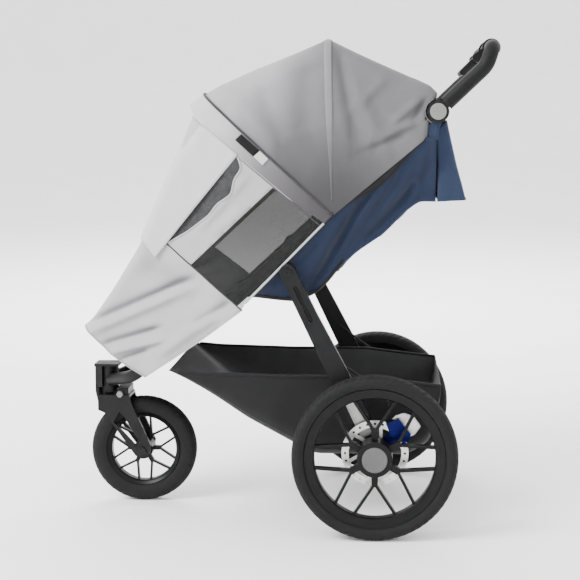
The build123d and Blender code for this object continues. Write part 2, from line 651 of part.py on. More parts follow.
HOOD_INSIDE = [(-128, 740), (-354, 930), (-360, 1047), (-298, 1104), (-114, 1185.5), (58, 1119.5),
               (184, 1051), (210, 1040), (210, 740)]

with BuildPart() as hood_hollow:
    side_prism(HOOD_INSIDE, -300, 300)
    end_prism(hood_end_view(CLOTH_T), -400, 300, mode=Mode.INTERSECT)

with BuildPart() as sun_cover_hood:
    side_prism(HOOD_SIDE, -COVER_Y, COVER_Y)
    end_prism(hood_end_view(0), -400, 300, mode=Mode.INTERSECT)
    add(hood_hollow.part, mode=Mode.SUBTRACT)
    for side in SIDES.values():
        cross_pin(JOINT_X, JOINT_Z, 54, side * 197, side * 240, mode=Mode.SUBTRACT)
write(sun_cover_hood, "sun_cover_hood")

SKIRT_INSIDE = [(140, 1062), (217, 1026), (206.5, 1002), (338, 701), (368, 648), (455, 517), (487, 483),
                (440, 424), (337, 340), (90, 500), (-160, 740), (-200, 800)]

with BuildPart() as skirt_hollow:
    side_prism(SKIRT_INSIDE, -300, 300)
    top_prism(cover_outline(-CLOTH_T, -300), 300, 1100, mode=Mode.INTERSECT)

with BuildPart() as sun_cover_skirt:
    side_prism(SKIRT_SIDE, -COVER_Y, COVER_Y)
    top_prism(cover_outline(0), 300, 1100, mode=Mode.INTERSECT)
    add(skirt_hollow.part, mode=Mode.SUBTRACT)
write(sun_cover_skirt, "sun_cover_skirt")


WINDOW = [(279, 692), (92, 540), (76, 566), (-103, 746), (12, 831)]
WINDOW_GAP, WINDOW_T = 0.4, 1.5

with BuildPart() as window_form:
    top_prism(cover_outline(WINDOW_GAP), 300, 1100)

with BuildPart() as mesh_windows:
    top_prism(cover_outline(WINDOW_GAP + WINDOW_T), 300, 1100)
    add(window_form.part, mode=Mode.SUBTRACT)
    side_prism(WINDOW, -300, 300, mode=Mode.INTERSECT)
write(mesh_windows, "mesh_windows")

with BuildPart() as window_flap:
    side_prism([(211.5, 1003), (342.5, 703), (345, 704), (214, 1004)], -166, 166)
write(window_flap, "window_flap")

# ---------------------------------------------------------------- basket

BASKET_SIDE = [(276, 380), (200, 372), (0, 366), (-200, 366), (-320, 352), (-384, 345), (-390, 300),
               (-363, 188), (-308, 153), (-76, 153), (87, 248), (192, 324)]
BASKET_INSIDE = [(262, 378), (262, 420), (-380, 420), (-380, 345), (-385.5, 300),
                 (-359.5, 190.5), (-306.5, 157), (-77, 157), (84.5, 251.5), (189.5, 327.5)]

with BuildPart() as basket:
    side_prism(BASKET_SIDE, -BASKET_Y, BASKET_Y)
    side_prism(BASKET_INSIDE, -BASKET_Y + CLOTH_T, BASKET_Y - CLOTH_T, mode=Mode.SUBTRACT)
    cross_pin(REAR_AXLE_X, REAR_AXLE_Z, 14, -BASKET_Y - 5, BASKET_Y + 5, mode=Mode.SUBTRACT)
write(basket, "basket")
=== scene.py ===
import json
import math

import bmesh
import bpy
import numpy as np
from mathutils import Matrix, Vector


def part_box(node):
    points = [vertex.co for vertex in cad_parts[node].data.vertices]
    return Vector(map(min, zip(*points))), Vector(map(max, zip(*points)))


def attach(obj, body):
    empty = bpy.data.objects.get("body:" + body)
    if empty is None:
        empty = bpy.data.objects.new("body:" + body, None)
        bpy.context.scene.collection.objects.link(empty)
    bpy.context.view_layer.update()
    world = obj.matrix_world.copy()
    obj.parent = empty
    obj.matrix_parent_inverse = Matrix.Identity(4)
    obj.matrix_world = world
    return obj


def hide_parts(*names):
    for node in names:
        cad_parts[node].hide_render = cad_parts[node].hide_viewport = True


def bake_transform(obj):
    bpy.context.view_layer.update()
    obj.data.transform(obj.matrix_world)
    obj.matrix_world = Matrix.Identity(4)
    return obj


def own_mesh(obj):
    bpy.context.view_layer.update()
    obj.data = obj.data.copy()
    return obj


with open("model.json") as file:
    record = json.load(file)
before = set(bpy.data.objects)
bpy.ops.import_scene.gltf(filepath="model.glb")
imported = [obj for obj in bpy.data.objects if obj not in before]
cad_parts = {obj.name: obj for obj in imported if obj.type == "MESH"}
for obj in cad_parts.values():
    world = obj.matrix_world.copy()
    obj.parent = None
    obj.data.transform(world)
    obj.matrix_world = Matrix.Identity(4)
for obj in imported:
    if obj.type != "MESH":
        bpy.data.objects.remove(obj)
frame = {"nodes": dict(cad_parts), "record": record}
nodes = frame["nodes"]
scene = bpy.context.scene
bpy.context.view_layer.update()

# Points and sizes in this script are in millimetres, in the row frame: X forward, Y to the child's left, Z up.
MM = 0.001
SIDES = {"left": 1, "right": -1}
HOOD_FOOT = np.array([-128.0, 765.0])


# ---- camera, light and floor

def add_camera():
    """Long lens on the stroller's left, level with its handle hinges and looking a little down and forward."""
    data = bpy.data.cameras.new("camera")
    data.lens = 77.72
    data.sensor_width = 36.0
    data.shift_x = -0.10
    data.shift_y = -0.12
    camera = bpy.data.objects.new("camera", data)
    scene.collection.objects.link(camera)
    camera.location = (-0.263, 3.1988, 0.997)
    yaw, pitch = math.radians(1.9), math.radians(4.7)
    aim = Vector((math.sin(yaw) * math.cos(pitch), -math.cos(yaw) * math.cos(pitch), -math.sin(pitch)))
    camera.rotation_euler = aim.to_track_quat("-Z", "Y").to_euler()
    scene.camera = camera


def add_softbox(name, place, target, size, power):
    """Square soft light that points at a target."""
    data = bpy.data.lights.new(name, "AREA")
    data.shape = "SQUARE"
    data.size = size
    data.energy = power
    lamp = bpy.data.objects.new(name, data)
    scene.collection.objects.link(lamp)
    lamp.location = place
    aim = Vector(target) - Vector(place)
    lamp.rotation_euler = aim.to_track_quat("-Z", "Y").to_euler()


def add_world(strength):
    """Even white light from all round."""
    world = bpy.data.worlds.new("studio")
    world.use_nodes = True
    back = world.node_tree.nodes["Background"]
    back.inputs["Color"].default_value = (1.0, 1.0, 1.0, 1.0)
    back.inputs["Strength"].default_value = strength
    scene.world = world


def add_floor():
    """Pale floor that curves up far away, so that it has no edge in view."""
    reach = [0.0, 3.0, 9.0, 12.0, 14.0, 15.0, 15.2]
    height = [0.0, 0.0, 0.0, 0.5, 1.8, 4.5, 9.0]
    turns = np.linspace(0, math.tau, 96, endpoint=False)
    rows = [[(r * math.cos(a) / MM, r * math.sin(a) / MM, h / MM) for a in turns]
            for r, h in zip(np.maximum(reach, 0.0002), height)]
    pale = Shader("floor_paper", 0.9)
    pale.colour(pale.ramp(pale.noise(3.0), linear(243, 243, 243), linear(247, 247, 247)))
    floor = sheet("floor", rows, pale.material, 0, None, closed=True)


# ---- materials

def linear(red, green, blue):
    """Scene-linear colour of an sRGB colour with parts from 0 to 255."""
    parts = [c / 255 for c in (red, green, blue)]
    return tuple(c / 12.92 if c <= 0.04045 else ((c + 0.055) / 1.055) ** 2.4 for c in parts) + (1.0,)


class Shader:
    """Principled material with its texture coordinates in metres, in the row frame."""

    def __init__(self, name, roughness=0.6, metallic=0.0, gloss=0.2):
        self.material = bpy.data.materials.new(name)
        self.material.use_nodes = True
        self.tree = self.material.node_tree
        self.surface = self.tree.nodes["Principled BSDF"]
        self.surface.inputs["Roughness"].default_value = roughness
        self.surface.inputs["Metallic"].default_value = metallic
        self.surface.inputs["Specular IOR Level"].default_value = gloss
        self.place = self.tree.nodes.new("ShaderNodeTexCoord").outputs["Object"]

    def link(self, output, socket):
        self.tree.links.new(output, socket)

    def node(self, kind, **values):
        """New shader node with some of its inputs set."""
        node = self.tree.nodes.new("ShaderNode" + kind)
        for name, value in values.items():
            node.inputs[name.replace("_", " ")].default_value = value
        return node

    def mapped(self, **values):
        """Texture place, stretched or turned."""
        mapping = self.node("Mapping", **values)
        self.link(self.place, mapping.inputs["Vector"])
        return mapping.outputs["Vector"]

    def noise(self, per_metre, detail=3.0, stretch=None):
        """Noise with so many lumps to a metre, or stretched along an axis."""
        node = self.node("TexNoise", Scale=per_metre, Detail=detail)
        place = self.mapped(Scale=stretch) if stretch else self.place
        self.link(place, node.inputs["Vector"])
        return node.outputs["Fac"]

    def bands(self, per_metre, turn):
        """Straight fine ridges, turned about the three axes."""
        node = self.node("TexWave", Scale=per_metre * math.tau / 20, Distortion=0.4, Detail=1.0)
        self.link(self.mapped(Rotation=turn), node.inputs["Vector"])
        return node.outputs["Fac"]

    def cells(self, per_metre):
        """Small rounded cells, as of grain or leather."""
        node = self.node("TexVoronoi", Scale=per_metre)
        self.link(self.place, node.inputs["Vector"])
        return node.outputs["Distance"]

    def math(self, operation, first, second):
        node = self.node("Math")
        node.operation = operation
        for socket, value in zip(node.inputs, (first, second)):
            if isinstance(value, (int, float)):
                socket.default_value = value
            else:
                self.link(value, socket)
        return node.outputs[0]

    def clamped(self, value):
        """The value kept between 0 and 1."""
        return self.math("MINIMUM", self.math("MAXIMUM", value, 0.0), 1.0)

    def ramp(self, factor, low, high, stops=(0.3, 0.7)):
        """Colour that runs from low to high with the factor."""
        node = self.node("ValToRGB")
        for element, stop, colour in zip(node.color_ramp.elements, stops, (low, high)):
            element.position = stop
            element.color = colour
        self.link(factor, node.inputs["Fac"])
        return node.outputs["Color"]

    def multiplied(self, first, second):
        """One colour times another."""
        node = self.node("Mix")
        node.data_type = "RGBA"
        node.blend_type = "MULTIPLY"
        node.inputs["Factor"].default_value = 1.0
        self.link(first, node.inputs["A"])
        self.link(second, node.inputs["B"])
        return node.outputs["Result"]

    def colour(self, output):
        self.link(output, self.surface.inputs["Base Color"])

    def spread(self, factor, low, high, name):
        """Drives one input of the surface from low to high."""
        node = self.node("MapRange", To_Min=low, To_Max=high)
        self.link(factor, node.inputs["Value"])
        self.link(node.outputs["Result"], self.surface.inputs[name])

    def rough(self, factor, low, high):
        self.spread(factor, low, high, "Roughness")

    def bump(self, heights, strength, depth_mm):
        """Surface relief from one height or several added together."""
        total = heights[0]
        for height in heights[1:]:
            total = self.math("ADD", total, height)
        node = self.node("Bump", Strength=strength, Distance=depth_mm * MM)
        self.link(total, node.inputs["Height"])
        self.link(node.outputs["Normal"], self.surface.inputs["Normal"])


def tint(colour, factor):
    """The same colour, lighter or darker."""
    return tuple(min(1.0, c * factor) for c in colour[:3]) + (1.0,)


WHITE = (1.0, 1.0, 1.0, 1.0)
# Colour of the painted shade in the deepest folds, as a multiplier.
FOLD_SHADE_TONE = (0.32, 0.32, 0.32 * 1.01, 1.0)


def paint_fold_shade(cloth, colour):
    """Colour output with painted shade: darker where the piece's own fold shade says so."""
    shade = cloth.node("Attribute")
    shade.attribute_name = "painted_fold_shade"
    return cloth.multiplied(colour, cloth.ramp(shade.outputs["Fac"], WHITE, FOLD_SHADE_TONE, (0.0, 1.0)))


def falling_shade(cloth):
    """Factor for painted shade that grows from the hood's foot outward and toward the front, as the light on the
    cover does.
    """
    parts = cloth.node("SeparateXYZ")
    cloth.link(cloth.place, parts.inputs["Vector"])
    ahead = cloth.math("SUBTRACT", parts.outputs["X"], HOOD_FOOT[0] * MM)
    above = cloth.math("SUBTRACT", parts.outputs["Z"], HOOD_FOOT[1] * MM)
    squares = cloth.math("ADD", cloth.math("MULTIPLY", ahead, ahead), cloth.math("MULTIPLY", above, above))
    reach = cloth.math("SQRT", squares, 0.0)
    near = cloth.math("MINIMUM", cloth.math("DIVIDE", reach, 0.22), 1.0)
    front = cloth.clamped(cloth.math("DIVIDE", ahead, 0.15))
    far = cloth.clamped(cloth.math("DIVIDE", cloth.math("SUBTRACT", reach, 0.20), 0.15))
    beyond = cloth.math("MULTIPLY", cloth.math("MULTIPLY", front, far), 0.45)
    return cloth.math("POWER", cloth.math("ADD", cloth.math("MULTIPLY", near, 0.55), beyond), 2.0)


def woven_cloth(name, colour, contrast=0.10, sheen=0.25, roughness=0.85, weave=900.0, relief=0.35, low=None):
    """Plain-woven cloth: two crossed sets of yarns, slubs, mottling and a soft sheen."""
    cloth = Shader(name, roughness)
    warp = cloth.bands(weave, (0.0, math.radians(40), 0.0))
    weft = cloth.bands(weave, (0.0, math.radians(-50), math.radians(8)))
    slubs = cloth.noise(420, 2.0, (1.0, 1.0, 0.35))
    mottle = cloth.noise(26, 4.0)
    blend = cloth.math("ADD", cloth.math("MULTIPLY", mottle, 0.65), cloth.math("MULTIPLY", slubs, 0.35))
    # Painted shade in the folds, on pieces that store it.
    tone = paint_fold_shade(cloth, cloth.ramp(blend, tint(colour, 1 - contrast), tint(colour, 1 + contrast)))
    # Painted shade: the colour falls toward low near the hood's foot.
    if low:
        share = tuple(a / b for a, b in zip(low[:3], colour[:3])) + (1.0,)
        tone = cloth.multiplied(tone, cloth.ramp(falling_shade(cloth), share, WHITE, (0.0, 1.0)))
    cloth.colour(tone)
    cloth.rough(slubs, roughness - 0.08, roughness + 0.08)
    cloth.bump((cloth.math("MULTIPLY", warp, 0.5), cloth.math("MULTIPLY", weft, 0.5), slubs), relief, 0.4)
    cloth.surface.inputs["Sheen Weight"].default_value = sheen
    cloth.surface.inputs["Sheen Roughness"].default_value = 0.5
    return cloth.material


def shaded_cloth(name, low, high):
    """Woven cover cloth with painted shade: its tone deepens toward the hood's foot."""
    return woven_cloth(name, high, 0.05, 0.1, low=low)


def net_cloth(name, colour, opacity):
    """See-through net: dark yarn with small holes."""
    net = Shader(name, 0.8)
    yarns = [net.bands(700, (0.0, math.radians(turn), 0.0)) for turn in (45, -45)]
    yarn = net.math("MAXIMUM", *yarns)
    net.colour(net.ramp(net.noise(60), tint(colour, 0.85), tint(colour, 1.15)))
    net.spread(yarn, opacity - 0.03, opacity + 0.03, "Alpha")
    net.bump((yarn,), 0.3, 0.3)
    return net.material


def coated_metal(name, colour, roughness=0.42, metallic=0.35):
    """Fine powder coat over metal, a little rubbed."""
    coat = Shader(name, roughness, metallic)
    grain = coat.noise(1400, 2.0)
    rubbed = coat.noise(34, 5.0)
    coat.colour(coat.ramp(rubbed, tint(colour, 0.88), tint(colour, 1.14), (0.35, 0.7)))
    coat.rough(rubbed, roughness - 0.07, roughness + 0.1)
    coat.bump((grain,), 0.18, 0.25)
    return coat.material


def bare_metal(name, colour, roughness=0.28):
    """Brushed steel or aluminium with fine scratches."""
    metal = Shader(name, roughness, 1.0, 0.5)
    scratches = metal.noise(900, 2.0, (1.0, 1.0, 0.06))
    metal.colour(metal.ramp(metal.noise(50, 4.0), tint(colour, 0.86), tint(colour, 1.08)))
    metal.rough(scratches, roughness - 0.06, roughness + 0.16)
    metal.bump((scratches,), 0.12, 0.1)
    return metal.material


def moulded_plastic(name, colour, roughness=0.48, texture=0.2):
    """Moulded plastic with a fine spark-eroded texture."""
    plastic = Shader(name, roughness)
    grain = plastic.noise(1600, 2.0)
    clouds = plastic.noise(22, 3.0)
    plastic.colour(plastic.ramp(clouds, tint(colour, 0.92), tint(colour, 1.08)))
    plastic.rough(clouds, roughness - 0.05, roughness + 0.08)
    plastic.bump((grain,), texture, 0.2)
    return plastic.material


def tyre_rubber(name, colour):
    """Matt rubber with a dusty bloom and fine moulding texture."""
    rubber = Shader(name, 0.75)
    dust = rubber.noise(38, 5.0)
    rubber.colour(rubber.ramp(dust, tint(colour, 0.82), tint(colour, 1.3), (0.35, 0.75)))
    rubber.rough(dust, 0.66, 0.86)
    rubber.bump((rubber.noise(900, 3.0), rubber.cells(600)), 0.25, 0.3)
    return rubber.material


def grained_leather(name, colour):
    """Soft grained leather over the handlebar."""
    leather = Shader(name, 0.6)
    cells = leather.cells(420)
    wear = leather.noise(30, 4.0)
    leather.colour(leather.ramp(wear, tint(colour, 0.8), tint(colour, 1.25)))
    leather.rough(wear, 0.5, 0.7)
    leather.bump((cells, leather.noise(1200, 2.0)), 0.4, 0.4)
    leather.surface.inputs["Sheen Weight"].default_value = 0.03
    return leather.material


# The cover is one light grey cloth: its hood copy is painted darker as painted shade, and its visor and front flap
# copies are painted lighter than the skirt's as painted light.
COVER_LIGHT = woven_cloth("cover_light_cloth", linear(163, 161, 164), 0.04, 0.12)
COVER_GREY = shaded_cloth("cover_grey_cloth", linear(57, 56, 58), linear(146, 144, 147))
VISOR_CLOTH = shaded_cloth("visor_cloth", linear(60, 58, 60), linear(176, 174, 177))
FLAP_CLOTH = woven_cloth("flap_cloth", linear(184, 183, 185), 0.03, 0.12)
POCKET_CLOTH = woven_cloth("pocket_cloth", linear(34, 44, 66), 0.10, 0.12)
# Painted light: a lighter copy of the basket cloth, for the bag's inner faces that lie in shade.
BASKET_INSIDE_LIT = woven_cloth("basket_inside_painted_light", linear(58, 58, 59), 0.12, 0.1)
TAG_BLACK = woven_cloth("tag_black", linear(14, 14, 15), 0.1, 0.1)
TAG_WHITE = woven_cloth("tag_white", linear(190, 191, 188), 0.04, 0.1)
PLATE = bare_metal("plate_steel", linear(214, 214, 212), 0.34)
SHOE = bare_metal("shoe_steel", linear(158, 158, 157), 0.36)
NAVY = woven_cloth("navy_cloth", linear(25, 34, 54), 0.10, 0.12)
BASKET = woven_cloth("basket_cloth", linear(20, 20, 21), 0.14, 0.10, 0.82, 700)
PAD_CLOTH = woven_cloth("pad_cloth", linear(43, 45, 48), 0.12, 0.25)
TRIM_DARK = woven_cloth("trim_cloth", linear(20, 20, 22), 0.15, 0.1, 0.8)
PIPING_DARK = woven_cloth("piping_cloth", linear(50, 50, 52), 0.10, 0.1, 0.7)
# The ridge tape carries the same painted shade toward the hood's foot.
CASING = shaded_cloth("casing_cloth", linear(66, 65, 67), linear(170, 168, 171))
PIPING_LIGHT = woven_cloth("piping_light_cloth", linear(168, 169, 169), 0.05, 0.2, 0.7)
WEBBING = woven_cloth("webbing_cloth", linear(20, 20, 22), 0.18, 0.15, 0.7, 1100, 0.6)
WINDOW_NET = net_cloth("window_net", linear(30, 31, 30), 0.74)
GAP_NET = net_cloth("gap_net", linear(56, 56, 58), 0.86)
FRAME = coated_metal("frame_charcoal", linear(24, 24, 25))
BLACK = moulded_plastic("black_plastic", linear(16, 16, 17))
# Painted shade for the recesses of the leg's slots, on a plastic surface.
SLOT_SHADE = moulded_plastic("slot_painted_shade", linear(6, 6, 6), 0.7)
GREY = moulded_plastic("grey_plastic", linear(84, 84, 84), 0.4, 0.12)
BUTTON = moulded_plastic("button_plastic", linear(116, 117, 114), 0.38, 0.1)
RIM = coated_metal("rim_black", linear(16, 16, 17), 0.36, 0.3)
STEEL = bare_metal("steel", linear(190, 190, 188))
DISC = bare_metal("disc_steel", linear(205, 205, 202), 0.3)
RUBBER = tyre_rubber("tyre_rubber", linear(20, 20, 20))
BLUE = coated_metal("brake_blue", linear(7, 13, 72), 0.3, 0.7)
CABLE = moulded_plastic("cable_black", linear(15, 15, 15), 0.4)
GRIP = grained_leather("grip_leather", linear(5, 5, 6))

SLOT_MATERIALS = {
    "frame_charcoal": FRAME, "steel": STEEL, "black_plastic": BLACK, "grey_plastic": GREY, "rim_black": RIM,
    "tyre_rubber": RUBBER, "brake_blue": BLUE, "cable_black": CABLE, "navy_cloth": NAVY,
    "black_webbing": WEBBING, "grip_black": GRIP, "cover_grey": COVER_GREY, "window_mesh": WINDOW_NET,
    "basket_cloth": BASKET,
}

# Small steel parts with a black finish.
DARKENED = ("pivot_bolts", "lever_pin", "front_axle")


def paint_cad_nodes():
    """Each CAD node's own material, found by its slot in the record, with a few told apart by name."""
    slots = {part["node"]: part["material_slot"] for part in frame["record"]["subparts"]}
    for name, node in nodes.items():
        material = SLOT_MATERIALS[slots[name]]
        if name.startswith("brake_disc"):
            material = DISC
        if name.startswith("hinge_button") or name == "swivel_lock_button":
            material = BUTTON
        if name in DARKENED:
            material = BLACK
        node.data.materials.clear()
        node.data.materials.append(material)


# ---- mesh helpers

def add_mesh(name, points, faces, material, body):
    """Object from points in mm, smooth-shaded and riding on a body."""
    mesh = bpy.data.meshes.new(name)
    mesh.from_pydata([tuple(p) for p in np.asarray(points, float) * MM], [], faces)
    mesh.materials.append(material)
    mesh.validate()
    for polygon in mesh.polygons:
        polygon.use_smooth = True
    piece = bpy.data.objects.new(name, mesh)
    scene.collection.objects.link(piece)
    if body:
        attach(piece, body)
    return piece


def grid_faces(count, across, closed):
    """Faces between neighbouring rows of points, joined round if closed."""
    last = across if closed else across - 1
    steps = [(i * across, j, (j + 1) % across) for i in range(count - 1) for j in range(last)]
    return [(i + j, i + k, i + across + k, i + across + j) for i, j, k in steps]


def sheet(name, rows, material, thickness=1.6, body="main_frame", closed=False):
    """Cloth through rows of points, with a thickness laid outward on both faces."""
    rows = np.asarray(rows, float)
    faces = grid_faces(*rows.shape[:2], closed)
    piece = add_mesh(name, rows.reshape(-1, 3), faces, material, body)
    if thickness:
        thicken(piece, thickness)
    return piece


def thicken(piece, thickness):
    solid = piece.modifiers.new("thickness", "SOLIDIFY")
    solid.thickness = thickness * MM
    solid.offset = 0.0


def tube(name, route, radius, material, sides=8, body="main_frame"):
    """Round cord along a list of points, with closed ends."""
    route = np.asarray(route, float)
    ahead = np.gradient(route, axis=0)
    ahead /= np.linalg.norm(ahead, axis=1)[:, None]
    side = np.cross(ahead[0], (0.0, 0.0, 1.0) if abs(ahead[0][2]) < 0.9 else (0.0, 1.0, 0.0))
    rings = []
    for point, along in zip(route, ahead):
        side = side - along * (side @ along)
        side /= np.linalg.norm(side)
        up = np.cross(along, side)
        turns = np.arange(sides) * math.tau / sides
        rings.append(point + radius * (np.outer(np.cos(turns), side) + np.outer(np.sin(turns), up)))
    points = np.concatenate(rings)
    faces = grid_faces(len(route), sides, True)
    faces.append(tuple(range(sides))[::-1])
    faces.append(tuple((len(route) - 1) * sides + j for j in range(sides)))
    return add_mesh(name, points, faces, material, body)


def soften(line, passes):
    """Eases the corners of a line in place, by passes of averaging."""
    for _ in range(passes):
        line[1:-1] = (line[:-2] + 2 * line[1:-1] + line[2:]) / 4
    return line


def mirrored(half):
    """A left half of a row, joined to its mirror image on the right."""
    flip = np.ones(half.shape[1])
    flip[1] = -1
    return np.concatenate([half, (half[:-1] * flip)[::-1]])


def at_side(line, y):
    """Line of the side view, stood at one distance across or at one for each point."""
    return np.stack([line[:, 0], np.broadcast_to(y, len(line)), line[:, 1]], axis=1)


def resampled(points, count, soft=0):
    """So many points spaced evenly along a polyline, its corners eased by passes of averaging."""
    points = np.asarray(points, float)
    run = np.concatenate([[0.0], np.cumsum(np.linalg.norm(np.diff(points, axis=0), axis=1))])
    even = np.linspace(0.0, run[-1], count)
    line = np.stack([np.interp(even, run, points[:, k]) for k in range(points.shape[1])], axis=1)
    return soften(line, soft)


def points_of(piece):
    return np.array([v.co for v in piece.data.vertices])


def move_points(piece, points):
    piece.data.vertices.foreach_set("co", points.astype(np.float32).ravel())
    piece.data.update()


def ease(value):
    """Smooth step from 0 to 1."""
    value = np.clip(value, 0.0, 1.0)
    return value * value * (3 - 2 * value)


def creases(x, z, folds):
    """Height of long soft folds at a place in the side view; each is (x, z, x, z, half-width, height)."""
    x, z = np.asarray(x, float), np.asarray(z, float)
    total = np.zeros_like(x)
    for x0, z0, x1, z1, width, height in folds:
        run = np.array([x1 - x0, z1 - z0])
        length = np.linalg.norm(run)
        along = ((x - x0) * run[0] + (z - z0) * run[1]) / length ** 2
        across = ((x - x0) * run[1] - (z - z0) * run[0]) / length
        fade = ease((along + 0.15) / 0.3) * ease((1.15 - along) / 0.3)
        total += height * fade * np.exp(-((across / width) ** 2))
    return total


# Direction in the side view toward the light, for the painted fold shade.
LIGHT_RUN = np.array([0.74, 0.67])


def shade_folds(piece, folds, gain=1.0):
    """Stores painted shade for each point of a side wall: how far it turns from the light and how deep it lies in
    a fold, for the material to darken its folds.
    """
    x, y, z = points_of(piece).T / MM
    step = 2.0
    rise = (creases(x + LIGHT_RUN[0] * step, z + LIGHT_RUN[1] * step, folds) - creases(x, z, folds)) / step
    hollow = np.clip(-creases(x, z, folds) / 9, 0, 1)
    shade = np.clip(gain * (rise * 1.3 + 0.35 * hollow), 0, 1) * ease((np.abs(y) - 120) / 60)
    layer = piece.data.attributes.new("painted_fold_shade", "FLOAT", "POINT")
    layer.data.foreach_set("value", shade.astype(np.float32))


def ripple(x, y, z, size, seed):
    """Small smooth unevenness of cloth, from a few fixed waves."""
    total = np.zeros_like(np.asarray(x, float))
    for k in range(4):
        turn = seed * 1.7 + k * 2.1
        wave = size * (1.0 + 0.6 * k)
        phase = (np.cos(turn) * x + np.sin(turn) * z) / wave * math.tau + turn * 3 + y / (2.3 * wave)
        total += np.sin(phase) / (k + 1.5)
    return total


# ---- tyres

def tyre_profile(outer, inner, width):
    """Half section of a tyre from its bead round the crown, as (radius, distance across)."""
    turns = np.linspace(-math.pi / 2 - 1.15, math.pi / 2 + 1.15, 55)
    middle = (outer + inner) / 2 + 1.5
    rise = np.where(np.cos(turns) > 0, outer - middle, (middle - inner + 1.0) / 0.9)
    radius = middle + rise * np.sign(np.cos(turns)) * np.abs(np.cos(turns)) ** 0.85
    across = width / 2 * np.sign(np.sin(turns)) * np.abs(np.sin(turns)) ** 0.8
    radius = np.maximum(radius, inner)
    return radius, across


def add_tyre(name, centre, outer, inner, width, blocks, body):
    """Tyre with a blocked tread, a rib at each shoulder and a raised bead."""
    radius, across = tyre_profile(outer, inner, width)
    around = blocks * 8
    turn = np.arange(around) * math.tau / around
    reach = np.abs(across) / (width / 2)
    crown = (radius > outer - 0.42 * (outer - inner)).astype(float)
    rows = []
    for k, angle in enumerate(turn):
        phase = (k / 8 + 0.9 * reach) % 1.0
        groove = ((phase < 0.3) & (reach > 0.22)) | ((reach > 0.10) & (reach < 0.2))
        depth = 1.7 * crown * groove
        shoulder_rib = 0.8 * np.exp(-((radius - (outer - 0.52 * (outer - inner))) / 1.4) ** 2)
        bead_rib = np.exp(-((radius - (inner + 4)) / 1.6) ** 2)
        r = radius - depth
        y = across + np.sign(across) * (shoulder_rib + bead_rib)
        y = np.clip(y, -width / 2, width / 2)
        x, z = centre[0] + r * math.cos(angle), centre[2] + r * math.sin(angle)
        rows.append(np.stack([x, centre[1] + y, z], axis=1))
    rows.append(rows[0])
    piece = sheet(name, rows, RUBBER, 0, body)
    weld = bmesh.new()
    weld.from_mesh(piece.data)
    bmesh.ops.remove_doubles(weld, verts=weld.verts, dist=0.00005)
    weld.to_mesh(piece.data)
    weld.free()
    return piece


# Outer radius, bead radius, width and number of tread blocks.
REAR_TYRE = (197.5, 166.0, 50.0, 64)
FRONT_TYRE = (137.0, 94.0, 45.0, 48)


def add_tyres():
    for side_name, side in SIDES.items():
        node = f"rear_tyre_{side_name}"
        low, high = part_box(node)
        centre = (low + high) / 2 / MM
        piece = add_tyre(f"tread_rear_{side_name}", centre, *REAR_TYRE, f"rear_wheel_{side_name}")
        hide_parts(node)
    low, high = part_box("front_tyre")
    piece = add_tyre("tread_front", (low + high) / 2 / MM, *FRONT_TYRE, "front_wheel")
    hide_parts("front_tyre")


# ---- sun cover: hood

# The hood's edge in the side view, from the visor over the ridge to its rear corner.
HOOD_OUTLINE = [(185, 1056), (150, 1077), (60, 1120), (-114, 1190), (-300, 1107), (-362, 1075), (-379, 1058),
                (-372, 1025), (-362, 990), (-358, 957)]
COVER_HALF_BY_X = [(-400, 236), (100, 236), (205, 206), (342, 172), (498, 152)]
COVER_HALF_BY_Z = [(300, 237), (980, 237), (1030, 232), (1080, 222), (1130, 207), (1190, 186)]
HINGE = np.array([-377.0, 1011.0])
HINGE_CLEAR = 30.0
COVER_SIDE = 236.0
ROW_POINTS = 124
SOFT_CORNER, SHARP_CORNER = 62.0, 26.0


def cover_half(x, z):
    """Half-width of the sun cover at a place in the side view."""
    by_x = np.interp(x, *zip(*COVER_HALF_BY_X))
    by_z = np.interp(z, *zip(*COVER_HALF_BY_Z))
    return np.minimum(by_x, by_z)


def boxed_row(start, end, corner=SHARP_CORNER, lift=0.0, count=ROW_POINTS, crown=4.0):
    """Row of the cover: straight up its left side, round the corner, across, and down the right side."""
    start, end = np.asarray(start, float), np.asarray(end, float)
    run = end - start
    length = np.linalg.norm(run)
    ahead = run / length
    corner = min(corner, 0.45 * length)
    side_reach = np.linspace(0.0, length - corner, 60)
    side_half = cover_half(start[0] + ahead[0] * side_reach, start[1] + ahead[1] * side_reach) + lift
    turns = np.linspace(0.0, math.pi / 2, 14)[1:]
    bend_reach = length - corner + (corner + lift - crown) * np.sin(turns)
    bend_half = side_half[-1] - corner * (1 - np.cos(turns))
    across = np.linspace(0.0, 1.0, 16)[1:]
    face_reach = length + lift - crown * np.cos(across * math.pi / 2)
    face_half = bend_half[-1] * (1 - across)
    half = np.stack([np.concatenate([side_reach, bend_reach, face_reach]),
                     np.concatenate([side_half, bend_half, face_half])], axis=1)
    whole = resampled(mirrored(half), count)
    places = start + np.outer(whole[:, 0], ahead)
    return np.stack([places[:, 0], whole[:, 1], places[:, 1]], axis=1)


HOOD_FOLDS = [
    (-142, 1150, -190, 930, 16, -7.0), (-175, 1080, -262, 905, 15, 5.0), (-300, 960, -180, 905, 12, -5.0),
    (-318, 985, -215, 935, 11, 5.0), (-330, 1035, -270, 985, 10, 5.5), (-350, 1040, -318, 990, 8, -4.0),
    (-70, 1120, -60, 900, 34, -6.0), (40, 1050, -50, 850, 24, -5.0), (110, 1050, 0, 930, 20, 4.0),
    (-250, 1090, -170, 1010, 14, 3.0),
]


